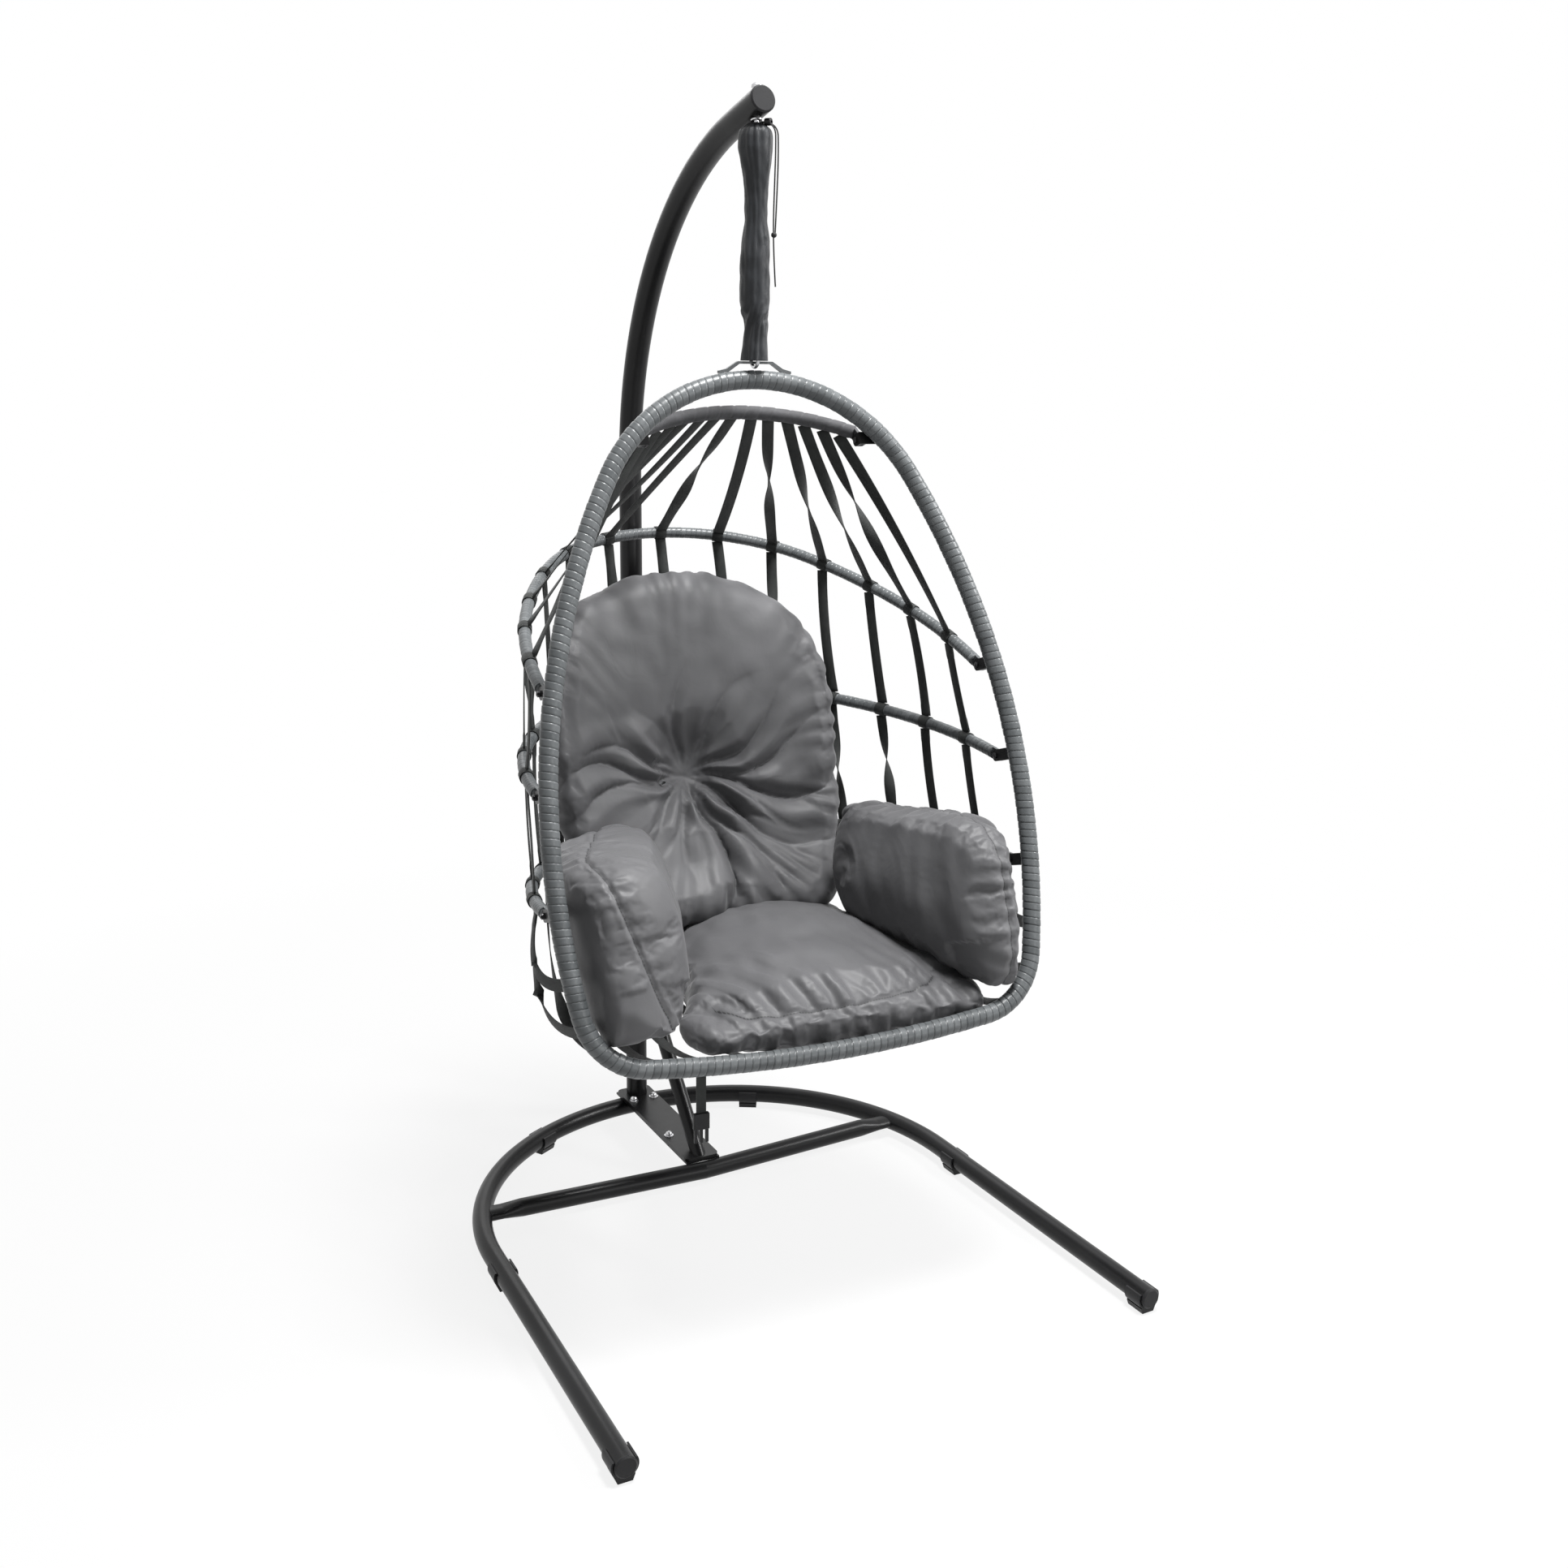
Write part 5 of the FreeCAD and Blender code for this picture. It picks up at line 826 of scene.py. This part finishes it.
def billow(made, held, most, loose=1.0):
    # blow the cover up with air, as filling does: held are the sewn places, most is how far each point may
    # rise, and loose is how much of the change it keeps
    before, normals = readMesh(made)
    group = made.vertex_groups.new(name="held")
    group.add(np.flatnonzero(held).tolist(), 1.0, "REPLACE")
    cloth = made.modifiers.new("cloth", "CLOTH")
    c, settings = cushion, cloth.settings
    settings.quality = c["quality"]
    settings.mass = c["mass"]
    settings.tension_stiffness = settings.compression_stiffness = c["stretch"]
    settings.shear_stiffness = c["shear"]
    settings.bending_stiffness = c["bend"]
    settings.use_pressure = True
    settings.uniform_pressure_force = c["pressure"]
    settings.shrink_min = settings.shrink_max = c["spare"]
    settings.vertex_group_mass = "held"
    settings.effector_weights.gravity = 0
    cloth.collision_settings.use_collision = False
    cloth.point_cache.frame_start, cloth.point_cache.frame_end = 1, c["frames"]
    scene = bpy.context.scene
    for number in range(1, c["frames"] + 1):
        scene.frame_set(number)
    blown = settled(made)
    after = np.zeros(len(before) * 3)
    blown.vertices.foreach_get("co", after)
    bpy.data.meshes.remove(blown)
    made.modifiers.remove(cloth)
    made.vertex_groups.clear()
    scene.frame_set(1)
    shift = (after.reshape(-1, 3) - before) * np.broadcast_to(loose, len(before))[:, None]
    rise = np.sum(shift * normals, axis=1)
    slide = shift - normals * rise[:, None]
    far = np.linalg.norm(slide, axis=1, keepdims=True)
    slide *= np.minimum(1, c["slide"] / np.maximum(far, 1e-9))
    writeMesh(made, before + normals * np.clip(rise, -c["sink"], most)[:, None] + slide)
    print(made.name, "rose %.1f mm at most, %.1f mm in the middle" % (rise.max() * 1000, np.median(rise) * 1000))


def finishCushion(made, node, seam, along):
    setAttribute(made.data, "seam", seam)
    setAttribute(made.data, "along", along)
    fine = made.modifiers.new("fine", "SUBSURF")
    fine.levels = fine.render_levels = 1
    smooth = settled(made)
    made.modifiers.remove(fine)
    made.data = smooth
    made.data.shade_smooth()
    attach(made, "basket")
    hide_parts(node)
    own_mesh(made)
    print(node, "made")


everyWay = (1, 1, 1)
back = {
    "tuft": (-0.030, 0.795),  # across and up
    "tuftDepth": 0.015, "tuftWidth": 0.034, "widerAbove": 1.1, "deepest": 0.034, "heldWithin": 0.008,
    # round the tuft: where the solid's own dimple is smoothed, and where the simulation starts to count
    "smoothTo": 0.12, "smoothOver": 0.06, "looseFrom": 0.05, "looseOver": 0.10,
    # pleats from the tuft: direction in degrees, depth, half width at 0.1 m, how far they run
    "pleats": [
        (166, 0.013, 0.010, 0.26), (178, 0.017, 0.010, 0.30), (191, 0.012, 0.009, 0.26), (145, 0.007, 0.010, 0.22),
        (118, 0.004, 0.009, 0.18), (95, 0.005, 0.008, 0.24), (72, 0.003, 0.008, 0.20), (50, 0.006, 0.009, 0.24),
        (29, 0.012, 0.010, 0.25), (10, 0.012, 0.009, 0.30), (-4, 0.016, 0.010, 0.32), (-17, 0.009, 0.009, 0.26),
        (-29, 0.015, 0.011, 0.28), (-45, 0.009, 0.011, 0.22), (-64, 0.013, 0.010, 0.26), (-82, 0.019, 0.011, 0.34),
        (-97, 0.007, 0.010, 0.20), (-118, 0.006, 0.012, 0.18), (-145, 0.007, 0.012, 0.18),
    ],
    "sway": 0.22, "swayRate": 15, "atTuft": 0.3, "pleatDepth": 1.4, "ridgeHeight": 0.5, "ridgeFrom": 0.012,
    # small folds at the rim: its middle beside the tuft and its height, how flat it is, its radius
    "rimAside": 0.014, "rimHeight": 0.86, "rimFlat": 0.95, "rimRadius": 0.285,
    "rimFolds": (0.040, 0.045, 0.0034, 3.1),  # pitch, reach, height, seed
    "lumps": [(0.0045, 9.0, everyWay, 1.3), (0.0022, 24.0, everyWay, 4.1)],
    "foot": 0.012, "footTop": 0.66, "footOver": 0.08,  # fuller where it stands behind the seat
    "rise": 0.009,
}


def eased(depth, most):
    # deep folds level off before they cut through the filling
    return np.where(depth < 0, most * np.tanh(depth / most), depth)


def pleated(b, reach, angle, front):
    # deep pleats with a ridge on either side; they start at the tuft and sway a little
    pleat, ridge = reach * 0, reach * 0
    for degrees, depth, half, far in b["pleats"]:
        sway = b["sway"] * np.sin(reach * b["swayRate"] + degrees) * smoothStep(reach / 0.1)
        apart = np.abs((angle - (math.radians(degrees) + sway) + math.pi) % (2 * math.pi) - math.pi)
        off = apart * reach
        width = half * (0.35 + reach / 0.14)
        run = b["atTuft"] + (1 - b["atTuft"]) * smoothStep(reach / 0.05)
        run *= 1 - smoothStep((reach - far * 0.35) / (far * 0.75))
        near = run * front * (apart < 1.2)
        pleat = np.maximum(pleat, b["pleatDepth"] * depth * np.exp(-off / (0.8 * width)) * near)
        ridge += b["ridgeHeight"] * depth * np.exp(-((off - 2.0 * width) / width) ** 2) * near
    return ridge * smoothStep((reach - b["ridgeFrom"]) / 0.04) - pleat


def makeBackCushion(b):
    made = softCopy("back_cushion")
    tuftX, tuftZ = b["tuft"]
    start = moved(hang.inverted(), readMesh(made)[0])
    around = np.hypot(start[:, 0] - tuftX, start[:, 2] - tuftZ)
    relax(made, 1 - smoothStep((around - b["smoothTo"]) / b["smoothOver"]), detail["tuftRounds"])
    co, normals = readMesh(made)
    local = moved(hang.inverted(), co)
    rearward = turned(hang.inverted(), normals)[:, 1]
    front = smoothStep((0.25 - rearward) / 0.5)
    across, up = local[:, 0] - tuftX, local[:, 2] - tuftZ
    reach = np.hypot(across, up)
    angle = np.arctan2(up, across)
    wide = b["tuftWidth"] * (1 + b["widerAbove"] * smoothStep((up + 0.02) / 0.06))
    amount = -b["tuftDepth"] * np.exp(-reach / wide) * front
    amount += pleated(b, reach, angle, front)
    rim = np.hypot(across + b["rimAside"], (local[:, 2] - b["rimHeight"]) * b["rimFlat"])
    amount += gathers(rim - b["rimRadius"], angle * b["rimRadius"], b["rimFolds"])
    amount += lumps(local, b["lumps"])
    lower = smoothStep((b["footTop"] - local[:, 2]) / b["footOver"]) * smoothStep((0.2 - rearward) / 0.4)
    pushOut(made, eased(amount, b["deepest"]) + b["foot"] * lower)
    most = np.where(rearward > 0.15, cushion["slack"], b["rise"])
    held = (reach < b["heldWithin"]) & (front > 0.5)
    billow(made, held, most, 1 - front * (1 - smoothStep((reach - b["looseFrom"]) / b["looseOver"])))
    finishCushion(made, "back_cushion", np.ones(len(co)), angle)


seat = {
    "seamHeight": 0.5275, "seamRise": 0.010, "riseHalf": 0.25, "lowHeight": 0.476,
    "frontEdge": -0.190, "frontOver": 0.04,
    "seamGroove": (0.004, 0.0045), "lowGroove": (0.004, 0.003),  # width and depth
    # pitch, reach, height, seed
    "seamFolds": (0.047, 0.034, 0.0036, 2.2), "lowFolds": (0.0376, 0.018, 0.0014, 5.4), "foldsAbove": 0.2,
    # ripples that run back over the top from the front seam
    "ripples": (0.052, 0.085, 0.0055, 4.4), "rippleStart": 0.06, "rippleLean": 0.35,
    "topLumps": [(0.0060, 7.0, (1.0, 1.8, 1.0), 8.2), (0.0030, 16.0, (2.2, 1.0, 1.0), 2.5)],
    "lumps": [(0.0018, 26.0, everyWay, 6.0)],
    "wider": 0.012, "taller": 0.006,  # fuller where it meets the right arm and the back
    "rise": 0.010, "sideRise": 0.006, "sideTop": 0.50, "held": 0.004,
}


def makeSeatCushion(s):
    made = softCopy("seat_cushion")
    co, normals = readMesh(made)
    local = moved(hang.inverted(), co)
    aside = turned(hang.inverted(), normals)
    x, y, z = local.T
    atFront = smoothStep((s["frontEdge"] - y) / s["frontOver"])
    seam = s["seamHeight"] + s["seamRise"] * (x / s["riseHalf"]) ** 2 - z
    low = s["lowHeight"] - z
    amount = (groove(seam, *s["seamGroove"]) + groove(low, *s["lowGroove"])) * atFront
    amount += gathers(seam, x, s["seamFolds"]) * atFront * np.where(seam > 0, 1.0, s["foldsAbove"])
    amount += gathers(low, x, s["lowFolds"]) * atFront
    onTop = smoothStep((aside[:, 2] - 0.2) / 0.4)
    behind = y - s["frontEdge"] + s["rippleStart"]
    amount += onTop * gathers(behind, x + s["rippleLean"] * behind, s["ripples"])
    amount += onTop * lumps(local, s["topLumps"])
    amount += lumps(local, s["lumps"])
    amount += s["wider"] * smoothStep((aside[:, 0] - 0.1) / 0.4) * smoothStep((x - 0.05) / 0.1) * (1 - atFront)
    amount += s["taller"] * onTop * smoothStep((y + 0.15) / 0.15)
    pushOut(made, amount)
    most = np.where(aside[:, 2] < -0.15, cushion["slack"], np.where(z < s["sideTop"], s["sideRise"], s["rise"]))
    billow(made, (np.abs(seam) < s["held"]) & (atFront > 0.5) | (aside[:, 2] < -0.75), most)
    away = np.where(seam < 0, -1, 1) * np.hypot(seam, 0.05 * (1 - atFront))
    finishCushion(made, "seat_cushion", away, x)


arm = {
    # where the seam runs between the outer and the inner cover: depth behind the hoop, middle of the top
    # and of the foot, and how far the left one leans in at each
    "seam": [(-0.040, 0.331, 0.332, -0.030, 0.060), (0.006, 0.329, 0.320, -0.030, 0.085),
             (0.127, 0.315, 0.306, 0.0, 0.060), (0.273, 0.269, 0.260, 0.015, 0.030),
             (0.324, 0.249, 0.244, 0.005, 0.010)],
    "seamTop": 0.73, "seamDrop": 0.25, "seamBow": 0.7, "seamGroove": (0.0045, 0.0060), "held": 0.0045,
    "middle": (0.13, -0.86), "round": 0.15,  # the seam runs round this place, at about this radius
    "edgeFolds": (0.027, 0.036, 0.0042, 1.7), "edgeHalf": 0.028, "edgeOver": 0.03,
    "topFolds": (0.050, 0.06, 0.0030, 6.6), "topAt": 0.34, "topFrom": -0.79, "topOver": 0.03,
    "broad": (0.0060, 7.5, everyWay, 3.3), "fine": (0.0028, 18.0, (1, 2, 1), 9.1),
    "foot": 0.016, "rear": 0.008,  # fuller where it rests against the seat and the back
    "rise": 0.010,
}


def makeArmCushion(node, side, leans, a):
    made = softCopy(node)
    co, normals = readMesh(made)
    local = moved(hoopPlane.inverted(), co)
    aside = turned(hoopPlane.inverted(), normals)
    x, depth, z = local[:, 0] * side, local[:, 1], local[:, 2]
    table = np.array(a["seam"])
    top, foot = [
        np.interp(depth, table[:, 0], table[:, i + 1] - leans * table[:, i + 3]) for i in (0, 1)]
    share = np.clip((-z - a["seamTop"]) / a["seamDrop"], 0, 1) ** a["seamBow"]
    seam = x - (top * (1 - share) + foot * share)
    around = np.arctan2(z - a["middle"][1], depth - a["middle"][0]) * a["round"]
    atEdge = 1 - smoothStep((np.abs(seam) - a["edgeHalf"]) / a["edgeOver"])
    amount = groove(seam, *a["seamGroove"])
    amount += gathers(seam, around, a["edgeFolds"], side) * atEdge
    height, scale, stretch, seed = a["broad"]
    amount += lumps(local, [(height, scale, stretch, seed + side), a["fine"]])
    amount += smoothStep((z - a["topFrom"]) / a["topOver"]) * gathers(x - a["topAt"], depth, a["topFolds"])
    outward = aside[:, 0] * side
    lower = smoothStep((-0.1 - aside[:, 2] - 0.4 * outward) / 0.4) * smoothStep((depth - 0.03) / 0.06)
    rear = smoothStep((aside[:, 1] - 0.1) / 0.4) * smoothStep((0.2 - outward) / 0.4)
    amount += a["foot"] * (1 - leans) * lower + a["rear"] * (1 - leans) * rear * (1 - lower)
    pushOut(made, amount)
    nearHoop = (outward > 0.1) | ((depth < 0.05) & (z < -0.93))
    billow(made, np.abs(seam) < a["held"], np.where(nearHoop, cushion["slack"], a["rise"]))
    finishCushion(made, node, seam, around)


makeBackCushion(back)
makeSeatCushion(seat)
makeArmCushion("left_arm_cushion", -1, 1.0, arm)
makeArmCushion("right_arm_cushion", 1, 0.0, arm)


# Sleeve
sleeve = {
    # share of the height from the top, radius, sideways shift, flattening
    "rings": [
        (0.0, 0.0058, 0.0, 1.0), (0.008, 0.0120, 0.0, 1.0), (0.020, 0.0210, -0.0005, 1.0),
        (0.05, 0.0240, -0.0010, 1.02), (0.10, 0.0248, -0.0015, 1.0), (0.19, 0.0205, 0.0, 0.98),
        (0.28, 0.0166, 0.0005, 1.0), (0.41, 0.0157, 0.0005, 1.0), (0.485, 0.0196, 0.0005, 1.02),
        (0.56, 0.0214, -0.0010, 1.0), (0.74, 0.0216, -0.0010, 1.02), (0.785, 0.0204, 0.0, 0.98),
        (0.815, 0.0172, 0.0015, 0.90), (0.845, 0.0170, 0.0020, 0.90), (0.90, 0.0176, 0.0010, 0.96),
        (1.0, 0.0200, -0.0005, 0.98),
    ],
    "cloth": 0.0010,
    # folds: count and height, and how much more they stand out at the neck, the pinch and the foot
    "foldCount": 9, "folds": 0.0013, "even": 0.35, "neck": 1.0, "pinch": 0.9, "foot": 0.5,
    "neckOver": 0.06, "pinchAt": 0.83, "pinchOver": 0.05, "footOver": 0.04,
    "crease": 0.0015, "creaseCount": 5, "lumps": 0.0014, "lumpsAround": 2.2, "lumpsDown": 16,
    # how far the cloth is turned below and above, where that starts, and over what share
    "turns": [(1.1, 0.74, 0.12), (-0.5, 0.1, 0.3)],
    "deepest": -0.0009, "ease": 0.0006,
}


def makeSleeve(s):
    # a cloth tube, gathered at its neck, pinched and a little twisted over the lower hook
    table = np.array(s["rings"])
    share = np.linspace(0, 1, detail["sleeveRows"])
    radius, shift, flat = [np.interp(share, table[:, 0], table[:, i]) for i in (1, 2, 3)]
    kernel = np.hanning(detail["sleeveBlend"])
    kernel /= kernel.sum()
    radius = np.convolve(np.pad(radius, len(kernel) // 2, mode="edge"), kernel, "valid")
    angles = np.linspace(0, 2 * math.pi, detail["sleeveAround"], endpoint=False)
    down, a = np.meshgrid(share, angles, indexing="ij")
    twist = a + sum(turn * smoothStep((down - start) / over) for turn, start, over in s["turns"])
    neck = np.exp(-down / s["neckOver"])
    pinch = np.exp(-((down - s["pinchAt"]) / s["pinchOver"]) ** 2)
    foot = np.exp(-(1 - down) / s["footOver"])
    strength = s["even"] + s["neck"] * neck + s["pinch"] * pinch + s["foot"] * foot
    folds = s["folds"] * np.sin(s["foldCount"] * twist + 2 * np.sin(3 * a)) * strength
    folds += s["crease"] * pinch * np.sin(s["creaseCount"] * twist + 1.0)
    ring = s["lumpsAround"]
    spots = np.stack([np.cos(a) * ring, np.sin(a) * ring, down * s["lumpsDown"]], -1).reshape(-1, 3)
    folds += s["lumps"] * noiseAt(spots, 1.0, seed=2.0).reshape(down.shape)
    out = radius[:, None] + np.maximum(folds, s["deepest"]) + s["ease"]
    z = place["sleeveTop"] + (place["sleeveLow"] - place["sleeveTop"]) * down
    grid = np.stack([
        shift[:, None] + out * flat[:, None] * np.cos(a),
        place["hangBack"] + out / flat[:, None] * np.sin(a), z], -1)
    made = gridMesh("sleeve_cloth", grid, finishes["sleeve_cloth"], caps=False)
    shell = made.modifiers.new("thickness", "SOLIDIFY")
    shell.thickness = s["cloth"]
    shell.offset = -1
    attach(made, "spring_unit")
    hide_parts("spring_sleeve")
    print("sleeve made")


makeSleeve(sleeve)


# Light and floor
studio = {
    # name: (position, target, size, watts)
    "lamps": {
        "key": ((2.9, -1.3, 2.9), (0, 0, 0.8), (0.9, 0.9), 88),
        "top": ((0.4, -0.7, 4.2), (0, 0, 0.5), (0.9, 0.9), 240),
        "front": ((1.6, -4.2, 1.4), (0, 0, 0.8), (1.4, 1.4), 24),
        "back": ((0.8, 3.4, 2.8), (0, 0, 1.0), (2.2, 1.6), 20),
    },
    "around": 0.075,  # the white room's own light
    "floor": 14.0, "floorTone": 0.70, "floorGlow": 0.86, "fadeFrom": 0.9, "fadeOver": 1.6,
}


def addLamp(name, position, target, size, power):
    data = bpy.data.lights.new(name, "AREA")
    data.shape = "RECTANGLE"
    data.size, data.size_y = size
    data.energy = power
    lamp = added(name, data)
    lamp.location = position
    lamp.rotation_euler = (Vector(target) - Vector(position)).to_track_quat("-Z", "Y").to_euler()


def seenRay(tree):
    # 1 where the camera looks, straight or by a reflection
    path = tree.nodes.new("ShaderNodeLightPath")
    seen = doMath(tree, "ADD", path.outputs["Is Camera Ray"], path.outputs["Is Glossy Ray"], True)
    return doMath(tree, "ADD", seen, path.outputs["Is Transmission Ray"], True)


def makeFloor(s):
    half = s["floor"]
    mesh = bpy.data.meshes.new("floor")
    mesh.from_pydata([(-half, -half, 0), (half, -half, 0), (half, half, 0), (-half, half, 0)], [], [(0, 1, 2, 3)])
    material, tree, shader = newMaterial("white floor", (s["floorTone"],) * 3, 0.9)
    glow = addNode(tree, "ShaderNodeEmission", Color=(1, 1, 1, 1), Strength=1.0)
    mix = tree.nodes.new("ShaderNodeMixShader")
    # the floor keeps the chair's shadow near it and fades into the white room further off
    reach = tree.nodes.new("ShaderNodeVectorMath")
    reach.operation = "LENGTH"
    tree.links.new(objectPlace(tree), reach.inputs[0])
    away = doMath(tree, "SUBTRACT", reach.outputs["Value"], s["fadeFrom"])
    fade = doMath(tree, "MULTIPLY", doMath(tree, "DIVIDE", away, s["fadeOver"], True), 1 - s["floorGlow"])
    glowing = doMath(tree, "ADD", fade, s["floorGlow"], True)
    tree.links.new(doMath(tree, "MULTIPLY", seenRay(tree), glowing), mix.inputs["Fac"])
    tree.links.new(shader.outputs["BSDF"], mix.inputs[1])
    tree.links.new(glow.outputs["Emission"], mix.inputs[2])
    tree.links.new(mix.outputs["Shader"], tree.nodes["Material Output"].inputs["Surface"])
    mesh.materials.append(material)
    added("floor", mesh)


def makeStage(s):
    for name, lamp in s["lamps"].items():
        addLamp(name, *lamp)
    makeFloor(s)
    world = bpy.data.worlds.new("studio")
    bpy.context.scene.world = world
    world.use_nodes = True
    tree = world.node_tree
    tree.nodes.clear()
    soft = addNode(tree, "ShaderNodeBackground", Color=(1, 1, 1, 1), Strength=s["around"])
    white = addNode(tree, "ShaderNodeBackground", Color=(1, 1, 1, 1), Strength=1.0)
    mix = tree.nodes.new("ShaderNodeMixShader")
    out = tree.nodes.new("ShaderNodeOutputWorld")
    tree.links.new(seenRay(tree), mix.inputs["Fac"])
    tree.links.new(soft.outputs["Background"], mix.inputs[1])
    tree.links.new(white.outputs["Background"], mix.inputs[2])
    tree.links.new(mix.outputs["Shader"], out.inputs["Surface"])
    bpy.context.scene.view_settings.view_transform = "Standard"
    print("studio lit")


makeStage(studio)
